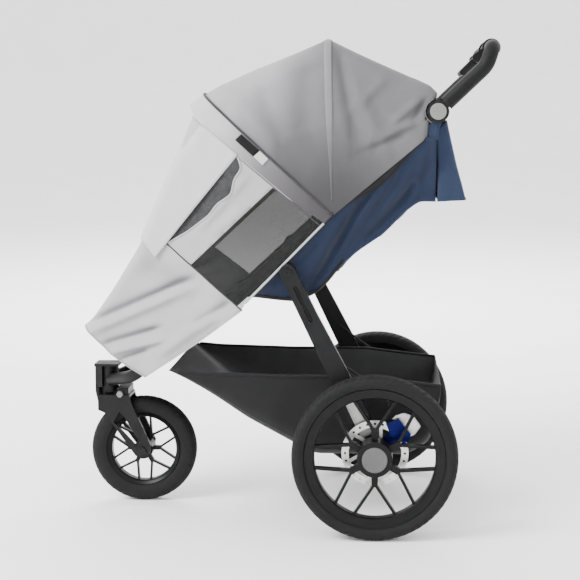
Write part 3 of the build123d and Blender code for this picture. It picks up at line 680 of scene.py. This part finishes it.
def add_hood():
    outline = resampled(HOOD_OUTLINE, 121)
    ridge = int(np.argmax(outline[:, 1]))
    rows = []
    for k, top in enumerate(outline):
        share = k / ridge if k <= ridge else (k - ridge) / (len(outline) - 1 - ridge)
        slack = math.sin(math.pi * share)
        reach = np.linalg.norm(top - HOOD_FOOT)
        start = HOOD_FOOT + (top - HOOD_FOOT) * 3.0 / reach
        squareness = ease((top[0] + 300) / -60)
        row = boxed_row(start, top, SOFT_CORNER + (SHARP_CORNER - SOFT_CORNER) * squareness, -0.6)
        x, y, z = row.T
        upright = ease((np.abs(y) - 150) / 50)
        high = ease((z - 900) / 120)
        relief = 1.5 * creases(x, z, HOOD_FOLDS) + ripple(x, y, z, 120, 1)
        relief += 2.0 * math.exp(-((k - ridge) / 1.6) ** 2) * high - 1.6 * slack * high
        row[:, 1] += np.sign(y) * upright * np.clip(relief, -3.2 - 9 * high, 2.0 + 4 * high)
        row[:, 2] -= (1 - upright) * slack * 5.0 * (1 - squareness)
        rows.append(row)
    rows = np.array(rows)
    hood = sheet("hood_cloth", rows, COVER_GREY, 0)
    # Painted shade in its folds.
    shade_folds(hood, HOOD_FOLDS, 0.55)
    open_round_hinges(hood)
    thicken(hood, 1.6)
    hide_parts("sun_cover_hood")
    casing = []
    for offset in (-9.0, -6.0, 0.0, 6.0, 9.0):
        tape_row = rows[ridge].copy()
        tape_row[:, 0] += offset * (0.25 + 0.75 * ease((tape_row[:, 2] - 800) / 260))
        raised = 1.3 if abs(offset) < 9 else 0.2
        tape_row[:, 1] += np.sign(tape_row[:, 1]) * raised * ease(np.abs(tape_row[:, 1]) / 120)
        tape_row[:, 2] += (raised - abs(offset) * 0.45) * (1 - ease((np.abs(tape_row[:, 1]) - 130) / 60))
        casing.append(tape_row[3:-3])
    tape = sheet("hood_ridge_tape", casing, CASING, 0.8)
    for side_name, side in SIDES.items():
        half = rows[-1][:ROW_POINTS // 2] if side > 0 else rows[-1][:ROW_POINTS // 2 - 1:-1]
        away = np.linalg.norm(half[:, [0, 2]] - HINGE, axis=1)
        lower = half[(away > HINGE_CLEAR + 4) & (np.abs(half[:, 1]) > 234)]
        turns = np.radians(np.linspace(-60, 70, 24))
        arc = HINGE + HINGE_CLEAR * np.stack([np.cos(turns), np.sin(turns)], axis=1)
        tube(f"hood_edge_{side_name}", lower + (0, side * 0.4, 0), 1.5, COVER_GREY)
        tube(f"hood_hinge_edge_{side_name}", at_side(arc, side * COVER_SIDE), 1.3, COVER_GREY)


def open_round_hinges(piece):
    """Rounds the cloth off in front of each handle hinge."""
    work = bmesh.new()
    work.from_mesh(piece.data)
    gone = []
    for vertex in work.verts:
        if abs(vertex.co.y) < 0.185:
            continue
        away = np.array([vertex.co.x, vertex.co.z]) / MM - HINGE
        reach = np.linalg.norm(away)
        if reach < HINGE_CLEAR - 2.5:
            gone.append(vertex)
        elif reach < HINGE_CLEAR + 2.5:
            eased = HINGE + away / reach * HINGE_CLEAR
            vertex.co.x, vertex.co.z = eased * MM
    bmesh.ops.delete(work, geom=gone, context="VERTS")
    work.to_mesh(piece.data)
    work.free()


# ---- sun cover: skirt, window and flap

# Ribs of the skirt in the side view: a point of its rear or lower edge, then one on its front.
SKIRT_RIBS = [
    ((-127, 764), (187, 1055)), ((-112, 749), (225, 1032)), ((-103, 740), (213, 1004)), ((-60, 700), (240, 940)),
    ((10, 629), (290, 822)), ((79, 560), (332, 727)), ((90, 536), (352, 686)), ((185, 464), (420, 578)),
    ((262, 411), (468, 510)), ((337, 360), (494, 484)),
]
SKIRT_ROWS_PER_RIB = 10
# The visor's cloth is sewn to the skirt's along this rib.
SEAM_RIB = 2
SKIRT_FOLDS = [
    (470, 492, 215, 606, 12, -9.0), (478, 470, 240, 578, 13, 6.0), (440, 438, 300, 482, 9, -8.0),
    (425, 418, 290, 455, 9, 6.0), (400, 400, 330, 425, 7, -5.0), (330, 640, 190, 555, 26, -5.0),
    (300, 420, 160, 520, 15, 5.0), (250, 660, 130, 560, 13, 4.5), (205, 500, 120, 552, 10, -5.0),
    (120, 895, 250, 725, 22, -5.0), (75, 860, 190, 735, 12, 3.5), (160, 720, 60, 800, 12, 3.0),
]


def skirt_rows():
    stations = np.linspace(0, len(SKIRT_RIBS) - 1, (len(SKIRT_RIBS) - 1) * SKIRT_ROWS_PER_RIB + 1)
    ribs = np.array(SKIRT_RIBS, float).reshape(len(SKIRT_RIBS), 4)
    lines = np.stack([np.interp(stations, np.arange(len(ribs)), ribs[:, k]) for k in range(4)], axis=1)
    soften(lines, 5)
    rows = []
    for place, line in zip(stations, lines):
        rear, front = line[:2], line[2:]
        boxy = ease((place - 1.2) / 2.2)
        row = boxed_row(rear, front, SOFT_CORNER + (SHARP_CORNER - SOFT_CORNER) * boxy, 1.2)
        hang = np.linalg.norm(row[:, [0, 2]] - rear, axis=1) / np.linalg.norm(front - rear)
        row[:, 2] -= 12 * ease((place - 7.5) / 1.5) * np.sin(np.clip(hang, 0, 1) * math.pi)
        rows.append(row)
    rows = np.array(rows)
    x, y, z = np.moveaxis(rows, -1, 0)
    side_share = ease((np.abs(y) - 90) / 60)
    down = ease((stations - 2.2) / 1.5)[:, None]
    relief = creases(x, z, SKIRT_FOLDS) + 1.2 * ripple(x, y, z, 110, 4)
    rows[..., 1] += np.sign(y) * side_share * down * relief
    return rows


# The net window in each side, in the side view.
WINDOW = [(216, 642), (89, 537), (74, 566), (-107, 747), (14, 831)]


def cut_window(skirt):
    """Cuts the skirt along the window's outline and returns the window's own faces as a second mesh."""
    work = bmesh.new()
    work.from_mesh(skirt.data)
    for (x0, z0), (x1, z1) in zip(WINDOW, WINDOW[1:] + WINDOW[:1]):
        across = Vector((z1 - z0, 0.0, x0 - x1)).normalized()
        bmesh.ops.bisect_plane(work, geom=work.verts[:] + work.edges[:] + work.faces[:],
                               plane_co=(x0 * MM, 0.0, z0 * MM), plane_no=across, dist=1e-7)
    inside = [f for f in work.faces if within(f.calc_center_median(), WINDOW) and abs(f.normal.y) > 0.5]
    window = bmesh.new()
    known = {}
    for face in inside:
        corners = []
        for vertex in face.verts:
            if vertex.index not in known:
                known[vertex.index] = window.verts.new(vertex.co)
            corners.append(known[vertex.index])
        window.faces.new(corners)
    bmesh.ops.delete(work, geom=inside, context="FACES")
    work.to_mesh(skirt.data)
    work.free()
    mesh = bpy.data.meshes.new("window_net")
    window.to_mesh(mesh)
    window.free()
    return mesh


def within(point, outline):
    """True if a point's side view is inside an outline in mm."""
    x, z = point.x / MM, point.z / MM
    inside = False
    for (x0, z0), (x1, z1) in zip(outline, outline[1:] + outline[:1]):
        if (z0 > z) != (z1 > z) and x < (x1 - x0) * (z - z0) / (z1 - z0) + x0:
            inside = not inside
    return inside


def laid_on(rows, points, side, out=0.0, count=60):
    """Line through points of the side view, laid on one side wall of a cloth."""
    line = resampled(points, count)
    wall = (rows * (1, side, 1)).reshape(-1, 3)
    wall = wall[wall[:, 1] > 120]
    laid = []
    for x, z in line:
        reach = np.hypot(wall[:, 0] - x, wall[:, 2] - z)
        near = np.argpartition(reach, 6)[:6]
        weight = 1 / (reach[near] + 0.5) ** 2
        laid.append((x, side * ((wall[near, 1] * weight).sum() / weight.sum() + out), z))
    return np.array(laid)


# Lines sewn on each side of the skirt: their points in the side view, how far out they lie, and their radius.
SKIRT_LINES = (
    ("window_seam", [(279, 693), (89, 536)], 1.0, 1.9, PIPING_DARK),
    ("window_edge", [(82, 553), (-107, 746)], 0.8, 2.6, PIPING_LIGHT),
    ("skirt_edge", [(89, 537), (185, 464), (262, 411), (337, 360)], 0.3, 1.6, PIPING_LIGHT),
)


def add_skirt():
    rows = skirt_rows()
    skirt = sheet("skirt_cloth", rows, COVER_LIGHT, 0, None)
    # Painted shade in its folds.
    shade_folds(skirt, SKIRT_FOLDS, 1.1)
    net_mesh = cut_window(skirt)
    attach(skirt, "main_frame")
    skirt.data.materials.append(VISOR_CLOTH)
    seam_rear, seam_front = np.array(SKIRT_RIBS[SEAM_RIB])
    seam_run = seam_front - seam_rear
    for polygon in skirt.data.polygons:
        x, z = polygon.center.x / MM, polygon.center.z / MM
        above = seam_run[0] * (z - seam_rear[1]) - seam_run[1] * (x - seam_rear[0])
        polygon.material_index = 1 if above > 0 else 0
    thicken(skirt, 1.6)
    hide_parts("sun_cover_skirt")
    net_mesh.materials.append(WINDOW_NET)
    for polygon in net_mesh.polygons:
        polygon.use_smooth = True
    net = bpy.data.objects.new("window_net", net_mesh)
    scene.collection.objects.link(net)
    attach(net, "main_frame")
    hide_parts("mesh_windows")
    outward = np.sign(rows[0][:, 1:2]) * ease((np.abs(rows[0][:, 1:2]) - 90) / 90) * (0, 1.6, 0)
    tube("visor_piping", rows[0] + outward + (0.6, 0.0, 0.8), 2.8, PIPING_DARK)
    seam = rows[SEAM_RIB * SKIRT_ROWS_PER_RIB]
    tube("visor_seam", seam + outward * 0.7, 1.5, COVER_GREY, 6)
    tube("skirt_hem", rows[-1], 2.4, COVER_GREY)
    for side_name, side in SIDES.items():
        for name, line, out, radius, material in SKIRT_LINES:
            tube(f"{name}_{side_name}", laid_on(rows, line, side, out), radius, material)
    add_flap()
    add_gap_net(rows)
    add_tags(rows)


FLAP_REAR = [(97, 908), (200, 786), (306, 657)]
FLAP_FRONT = [(213, 1004), (277, 855), (343, 702)]


def add_flap():
    """Light panel that hangs from the visor over the front window, free along its sides and foot."""
    count = 40
    rear, front = resampled(FLAP_REAR, count), resampled(FLAP_FRONT, count)
    rows = []
    for k in range(count):
        share = k / (count - 1)
        corner = SOFT_CORNER + (SHARP_CORNER - SOFT_CORNER) * ease(share / 0.5)
        rows.append(boxed_row(rear[k], front[k], corner, 3.6 + 5.0 * share, 84))
    rows = np.array(rows)
    x, y, z = np.moveaxis(rows, -1, 0)
    rows[..., 1] += np.sign(y) * ease((np.abs(y) - 90) / 60) * 0.9 * ripple(x, y, z, 90, 7)
    flap = sheet("front_flap", rows, FLAP_CLOTH, 1.4)
    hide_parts("window_flap")


WAVY_EDGE = [(97, 903), (87, 876), (106, 852), (113, 814), (150, 790), (168, 764), (224, 722), (274, 694)]


def add_gap_net(skirt):
    """Net of the front window, seen between the flap and the wavy edge of the cloth behind it."""
    count = 50
    wavy = resampled(WAVY_EDGE, count, soft=3)
    flap = resampled([(97, 908), (286, 682)], count)
    for side_name, side in SIDES.items():
        rows = [laid_on(skirt, wavy + (flap - wavy) * share, side, 1.6, count)
                for share in np.linspace(0.0, 1.3, 9)]
        net = sheet(f"front_net_{side_name}", rows, GAP_NET, 0.5)
        tube(f"front_net_hem_{side_name}", laid_on(skirt, wavy, side, 1.4, count), 2.2, COVER_LIGHT)


# Blank labels in the visor's seam on the left, in the side view: two corners along the seam, then two below.
BLACK_TAG = [(60, 905), (103, 944), (88, 958), (45, 919)]
WHITE_TAG = [(38, 884), (59, 904), (44, 918), (24, 899)]


def add_tags(skirt):
    for name, corners, material in (("tag_dark", BLACK_TAG, TAG_BLACK), ("tag_pale", WHITE_TAG, TAG_WHITE)):
        near, far = corners[:2], corners[3:1:-1]
        rows = [laid_on(skirt, np.array(near) + (np.array(far) - np.array(near)) * share, 1, 2.6, 12)
                for share in np.linspace(0.0, 1.0, 6)]
        tag = sheet(name, rows, material, 0.8)


# ---- seat shell, trim and rear pocket

# Pairs of points in the side view: on the shell's upper edge, under the cover, then on its underside.
SHELL_PAIRS = [
    ((80, 572), (67, 563)), ((20, 628), (12, 556)), ((-50, 696), (-36, 552)), ((-100, 745), (-82, 570)),
    ((-132, 776), (-113, 598)), ((-180, 820), (-150, 644)), ((-235, 866), (-190, 677)),
    ((-290, 912), (-250, 718)), ((-335, 950), (-300, 770)), ((-360, 952), (-335, 796)), ((-374, 950), (-374, 795)),
]
SHELL_FOLDS = [
    (-78, 580, -225, 850, 13, -7.0), (-92, 590, -262, 850, 12, 6.0), (-118, 620, -300, 872, 13, -7.0),
    (-60, 600, -150, 770, 12, 5.0), (30, 590, -95, 705, 14, -4.0), (-150, 660, -330, 900, 14, 5.0),
    (-200, 700, -345, 860, 11, -5.0), (-320, 800, -350, 940, 10, 5.0),
]

SHELL_HALF = 232.0


def shell_row(upper, lower, count=110):
    """Row of the shell: down the left wall, across the underside and up the right wall."""
    upper, lower = np.asarray(upper, float), np.asarray(lower, float)
    steps = np.linspace(0.0, 1.0, 40)
    wall_y = SHELL_HALF - 40.0 * ease(steps) ** 1.2
    wall = at_side(upper + np.outer(steps, lower - upper), wall_y)
    under = np.stack([np.full(20, lower[0]), np.linspace(186.0, 0.0, 20), np.full(20, lower[1])], axis=1)
    half = np.concatenate([wall, under])
    return resampled(mirrored(half), count, soft=3)


VENT_SIDE = 234.4


def add_seat_shell():
    uppers = resampled([u for u, _ in SHELL_PAIRS], 90, soft=6)
    lowers = resampled([l for _, l in SHELL_PAIRS], 90, soft=4)
    rows = np.array([shell_row(u, l) for u, l in zip(uppers, lowers)])
    x, y, z = np.moveaxis(rows, -1, 0)
    wall = ease((np.abs(y) - 150) / 45)
    rim = ease((SHELL_HALF + 0.5 - np.abs(y)) / 6)
    relief = 2.0 * creases(x, z, SHELL_FOLDS) + 1.6 * ripple(x, y, z, 90, 2)
    rows[..., 1] += np.sign(y) * wall * rim * np.minimum(relief, 1.0)
    shell = sheet("seat_shell", rows, NAVY, 0)
    # Painted shade in its folds.
    shade_folds(shell, SHELL_FOLDS, 0.6)
    thicken(shell, 2.0)
    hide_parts("seat_sides", "seat_trim")
    band_rows = []
    for row in rows[:44]:
        near = row[row[:, 2] < row[:, 2].min() + 13]
        band_rows.append(resampled(near, 60) + (0.0, 0.0, -1.2))
    band_rows = np.array(band_rows)
    band_rows[..., 1] *= 1.008
    band = sheet("shell_binding", band_rows, TRIM_DARK, 1.6)
    for side_name, side in SIDES.items():
        upper = resampled([(-150, 788), (-190, 822), (-250, 872), (-326, 936)], 30)
        lower = resampled([(-150, 784), (-190, 806), (-238, 832), (-282, 876), (-328, 930)], 30, soft=2)
        strip = [at_side(line, side * VENT_SIDE) for line in (upper, (upper + lower) / 2, lower)]
        vent = sheet(f"shell_vent_{side_name}", strip, TRIM_DARK, 1.0)


TAB_SIDE = 228.0


def add_hinge_tabs():
    """Short navy tab at each side that hangs the rear pocket's top corner from the handle hinge."""
    for side_name, side in SIDES.items():
        front = resampled([(-356, 990), (-353, 968), (-352, 944)], 12)
        rear = resampled([(-390, 994), (-380, 968), (-378, 944)], 12)
        rows = [at_side(line, side * TAB_SIDE)
                for line in (front, front * 0.67 + rear * 0.33, front * 0.33 + rear * 0.67, rear)]
        tab = sheet(f"hinge_tab_{side_name}", rows, POCKET_CLOTH, 1.4)


GRIP_RUN = np.array([-0.717, 0.697])
CUFF_RADIUS = 17.8
BAR_SIDE = 235.0


def add_grip_cuffs():
    """Ends of the leather grip, down to the round handle hinges."""
    for side_name, side in SIDES.items():
        route = []
        for reach in (26.8, 28.0, 32.0, 37.5):
            x, z = HINGE + reach * GRIP_RUN
            route.append((x, side * BAR_SIDE, z))
        cuff = tube(f"grip_cuff_{side_name}", route, CUFF_RADIUS, GRIP, 32, "handlebar")


# The rear pocket in the side view, from its top down: where its side wing starts, then its back.
POCKET_LEVELS = [((-372, 962), (-399, 990)), ((-376, 930), (-409, 945)), ((-378, 880), (-423, 885)),
                 ((-378, 830), (-437, 835)), ((-377, 797), (-446, 800))]


POCKET_HALF, POCKET_TAPER = 214.0, 14.0


def add_rear_pocket():
    """Navy pocket behind the seat: a back panel with a wing at each side, closed below."""
    fronts = resampled([f for f, _ in POCKET_LEVELS], 40, soft=2)
    backs = resampled([b for _, b in POCKET_LEVELS], 40, soft=2)
    rows = []
    for k in range(40):
        share = k / 39
        half = POCKET_HALF - POCKET_TAPER * share
        front, back = fronts[k], backs[k]
        wing = [(front + (back - front) * t, half - 6 * t) for t in np.linspace(0, 0.85, 12)]
        bend = [(front + (back - front) * (0.85 + 0.15 * math.sin(a)), half - 6 - 14 * (1 - math.cos(a)))
                for a in np.linspace(0.2, math.pi / 2, 6)]
        face = [(back, (half - 20) * (1 - t)) for t in np.linspace(0, 1, 20)[1:]]
        half_row = np.array([(p[0], y, p[1]) for p, y in wing + bend + face])
        rows.append(resampled(mirrored(half_row), 90))
    rows = np.array(rows)
    x, y, z = np.moveaxis(rows, -1, 0)
    sway = 2.5 * np.sin(y / 34 + 0.6) * ease((960 - z) / 150)
    rows[..., 0] += sway * ease((175 - np.abs(y)) / 60)
    wing_share = ease((np.abs(y) - 150) / 30) * ease((960 - z) / 80)
    rows[..., 1] += np.sign(y) * 1.8 * np.sin(x / 9 + z / 60) * wing_share
    pocket = sheet("rear_pocket", rows, POCKET_CLOTH, 1.8)
    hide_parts("rear_flap")
    tube("rear_pocket_hem", rows[-1] + (0.0, 0.0, 1.0), 2.2, POCKET_CLOTH)
    floor = [rows[-2], rows[-2] * (1, 0.55, 1), rows[-2] * (1, 0.0, 1)]
    base = sheet("rear_pocket_base", floor, NAVY, 1.2)


# ---- padded pieces and harness

def pad_from(name, outline, half, cap, voxel):
    count = len(outline)
    faces = [tuple(range(count)), tuple(range(2 * count - 1, count - 1, -1))]
    faces += [(k, k + count, (k + 1) % count + count, (k + 1) % count) for k in range(count)]
    corners = [(x, y, z) for y in (-half, half) for x, z in outline]
    piece = add_mesh(name, corners, faces, PAD_CLOTH, None)
    bpy.context.view_layer.objects.active = piece
    remesh = piece.modifiers.new("remesh", "REMESH")
    remesh.mode = "VOXEL"
    remesh.voxel_size = voxel * MM
    smooth = piece.modifiers.new("smooth", "SMOOTH")
    smooth.factor = 0.5
    smooth.iterations = 12
    settle(piece)
    rest = points_of(piece)
    inflate(piece)
    moved = points_of(piece) - rest
    length = np.linalg.norm(moved, axis=1)
    scale = np.minimum(1.0, cap * MM / np.maximum(length, 1e-9))
    move_points(piece, rest + moved * scale[:, None])
    for polygon in piece.data.polygons:
        polygon.use_smooth = True
    return piece


def settle(piece):
    """Applies every modifier of a piece."""
    evaluated = piece.evaluated_get(bpy.context.evaluated_depsgraph_get())
    mesh = bpy.data.meshes.new_from_object(evaluated)
    piece.modifiers.clear()
    old = piece.data
    piece.data = mesh
    bpy.data.meshes.remove(old)


def inflate(piece):
    """Runs a short cloth simulation with pressure inside and no gravity."""
    cloth = piece.modifiers.new("cloth", "CLOTH")
    cloth.settings.use_pressure = True
    cloth.settings.uniform_pressure_force = 4.0
    cloth.settings.effector_weights.gravity = 0.0
    cloth.settings.mass = 0.3
    cloth.settings.quality = 5
    cloth.point_cache.frame_start = 1
    cloth.point_cache.frame_end = 20
    for step in range(1, 21):
        scene.frame_set(step)
    settle(piece)
    scene.frame_set(1)


def quilt(piece, normal, spacing, depth):
    """Presses sewn channels across a pad."""
    co = points_of(piece)
    normals = np.array([v.normal for v in piece.data.vertices])
    along = co[:, 0] * normal[0] + co[:, 2] * normal[2]
    groove = np.exp(-(((along / MM) % spacing - spacing / 2) / 3.5) ** 2)
    move_points(piece, co - normals * (groove * depth * MM)[:, None])


# Each pad: side view, half-width, how far it may puff up, voxel size, body, the CAD node it replaces, and the
# direction and spacing of its seams.
SEAT_PAD = [(58, 570), (-24, 560), (-72, 575), (-80, 586), (-28, 577), (54, 588)]
BACK_PAD = [(-124, 610), (-152, 646), (-188, 682), (-238, 712), (-292, 764), (-324, 800),
            (-328, 812), (-302, 796), (-226, 724), (-170, 692), (-132, 660), (-110, 630)]
CALF_PAD = [(78, 572), (84, 574), (150, 549), (250, 468), (248, 465), (148, 546)]
PADS = (
    ("seat_cushion", SEAT_PAD, 172, 7, 5.0, "main_frame", "seat_pad", ((1, 0, 0), 45)),
    ("back_cushion", BACK_PAD, 168, 7, 5.0, "seat_back", "seat_back", ((-0.77, 0, 0.64), 60)),
    ("calf_cushion", CALF_PAD, 112, 5, 4.0, "main_frame", "calf_rest", None),
)


def add_pads():
    made = []
    for name, outline, half, cap, voxel, body, node, seams in PADS:
        pad = pad_from(name, outline, half, cap, voxel)
        if seams:
            quilt(pad, *seams, 2.5)
        made.append((pad, body, node))
    for pad, body, node in made:
        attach(pad, body)
        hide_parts(node)


STRAP_ROUTE = [(-296, 810), (-262, 780), (-216, 742), (-176, 718), (-140, 700), (-112, 680), (-88, 656)]
SHOULDER_SIDE = 52.0
STRAP_WIDTHS = np.linspace(-12.5, 12.5, 5)


def add_harness():
    """Two flat shoulder straps with soft pads."""
    route = resampled(STRAP_ROUTE, 50, soft=4)
    for side_name, side in SIDES.items():
        rows = []
        for k, (x, z) in enumerate(route):
            middle = side * (SHOULDER_SIDE - 26.0 * ease((k - 30) / 20))
            rows.append([(x, middle + w, z + 1.0 + 0.6 * math.sin(k / 5)) for w in STRAP_WIDTHS])
        strap = sheet(f"shoulder_strap_{side_name}", rows, WEBBING, 1.8, None)
        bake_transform(strap)
        pad_rows = []
        for k in range(8, 30):
            x, z = route[k]
            swell = math.sin(math.pi * (k - 8) / 21) ** 0.35
            pad_rows.append([(x, side * SHOULDER_SIDE + 24 * math.cos(a), z + 3.0 + 6.0 * swell * math.sin(a))
                             for a in np.linspace(0, math.tau, 16, endpoint=False)])
        pad = sheet(f"shoulder_pad_{side_name}", pad_rows, PAD_CLOTH, 0, "seat_back", closed=True)
        if side > 0:
            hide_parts("harness_webbing")


# ---- basket

BASKET_TOP = [(276, 381), (200, 374), (0, 368), (-200, 368), (-320, 354), (-386, 347)]
BASKET_LOW = [(276, 379), (192, 324), (87, 248), (-76, 155), (-308, 155), (-363, 190), (-388, 300), (-389, 345)]
BASKET_HALF = 193.0


def sling(half, depth, power, count):
    """Section of a bag: down one wall, along the bottom and up the other, as (across, depth)."""
    turns = np.linspace(0.0, math.pi, 400)
    across = half * np.sign(np.cos(turns)) * np.abs(np.cos(turns)) ** (2 / power)
    drop = depth * np.sin(turns) ** (2 / power)
    return resampled(np.stack([across, drop], axis=1), count)


def add_basket():
    """Open bag slung under the seat, with a bound rim, a piped lower edge and hanging folds."""
    lower = resampled(BASKET_LOW, 110, soft=5)
    rim_x, rim_z = np.array(BASKET_TOP, float)[::-1].T
    rows = []
    for x, low in lower:
        top = np.interp(x, rim_x, rim_z)
        depth = max(top - low, 1.0)
        section = sling(BASKET_HALF, depth, 5.0, 110)
        rows.append(np.stack([np.full(110, x), section[:, 0], top - section[:, 1]], axis=1))
    rows = np.array(rows)
    x, y, z = np.moveaxis(rows, -1, 0)
    hang = np.clip((370 - z) / 120, 0, 1)
    wall = ease((np.abs(y) - 130) / 55)
    folds = 3.5 * np.sin(x / 31 + 1.4 * np.sin(x / 90)) + 2.5 * np.sin(x / 17 + z / 40)
    rows[..., 1] += np.sign(y) * wall * (folds * hang * (1.2 - hang) - 3.0 - 9.0 * hang * (1 - hang))
    basket = sheet("basket_cloth", rows, BASKET, 2.0)
    # Painted light: the thickened bag's inner faces take the lighter copy of its cloth.
    basket.data.materials.append(BASKET_INSIDE_LIT)
    basket.modifiers["thickness"].material_offset = 1
    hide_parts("basket")
    pieces = [basket]
    for side_name, side in SIDES.items():
        edge = rows[:, 0] if side > 0 else rows[:, -1]
        pieces.append(tube(f"basket_rim_{side_name}", edge[3:-3], 3.6, TRIM_DARK))
        outness = side * y - 0.9 * (z - z.min(axis=1)[:, None])
        corner = rows[np.arange(len(rows)), outness.argmax(axis=1)]
        piping = resampled(corner[2:62], 60, soft=2) + (0, side * 1.2, -0.6)
        pieces.append(tube(f"basket_piping_{side_name}", piping, 1.3, PIPING_DARK, 6))
    for piece in pieces:
        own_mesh(piece)


# ---- plates at the rear axle

LEG_TOP, AXLE = np.array([-21.0, 630.0]), np.array([-230.0, 197.5])
LEG_RUN = (AXLE - LEG_TOP) / np.linalg.norm(AXLE - LEG_TOP)
BRAKE_PLATE = [(-262, 262), (-276, 286), (-298, 294), (-322, 286), (-340, 262), (-324, 240), (-300, 232)]


def leg_place(along, across):
    """Place in the side view, measured down the rear leg and across it."""
    return LEG_TOP + along * LEG_RUN + across * np.array([-LEG_RUN[1], LEG_RUN[0]])


def add_plate(name, outline, y, thickness, material):
    """Thin plate with eased edges, standing in the side view on the rear frame."""
    outline = resampled(list(outline) + [outline[0]], 61, soft=2)[:-1]
    middle = outline.mean(axis=0)
    rims = [(0.0, 0.0), (0.94, 0.0), (1.0, 0.25), (1.0, 0.75), (0.94, 1.0), (0.0, 1.0)]
    rows = [at_side(middle + (outline - middle) * max(scale, 0.01), y + thickness * depth)
            for scale, depth in rims]
    plate = sheet(name, rows, material, 0, "rear_frame", closed=True)


def slot_outline(start, end, width):
    """Round-ended slot down the rear leg, in the side view."""
    turns = np.linspace(0, math.pi, 9)
    head = [leg_place(start - width / 2 * math.sin(a), width / 2 * math.cos(a)) for a in turns]
    foot = [leg_place(end + width / 2 * math.sin(a), -width / 2 * math.cos(a)) for a in turns]
    return head + foot


LEG_SHOE = [leg_place(*p) for p in ((346, -14), (346, 14), (392, 15), (438, 14), (438, -14))]
# Plates on the left: outline in the side view, distance across of the near face, thickness.
AXLE_PLATES = (
    ("leg_shoe_{}", LEG_SHOE, 250.4, 1.4, SHOE, "steel"),
    # Painted shade: flat near-black plates in the leg's two slots stand for the shade in their recesses.
    ("leg_slot_{}_0", slot_outline(42, 84, 8), 247.2, 0.8, SLOT_SHADE, "black_plastic"),
    ("leg_slot_{}_1", slot_outline(92, 128, 8), 247.2, 0.8, SLOT_SHADE, "black_plastic"),
    ("brake_plate_{}", BRAKE_PLATE, 252.4, 1.6, PLATE, "steel"),
)


def add_axle_plates():
    for side_name, side in SIDES.items():
        for name, outline, y, thickness, material, slot in AXLE_PLATES:
            add_plate(name.format(side_name), outline, side * y, side * thickness, material)


# ---- build

add_camera()
add_world(2.2)
add_softbox("key_light", (2.4, 1.7, 2.9), (0.0, 0.0, 0.7), 1.6, 230)
add_softbox("fill_light", (-2.2, 3.0, 1.8), (0.0, 0.0, 0.5), 2.0, 14)
add_softbox("back_light", (0.3, -3.2, 3.4), (0.0, -5.0, 0.0), 3.0, 420)
add_floor()
paint_cad_nodes()
add_tyres()
add_hood()
add_skirt()
add_seat_shell()
add_hinge_tabs()
add_grip_cuffs()
add_rear_pocket()
add_pads()
add_harness()
add_basket()
add_axle_plates()
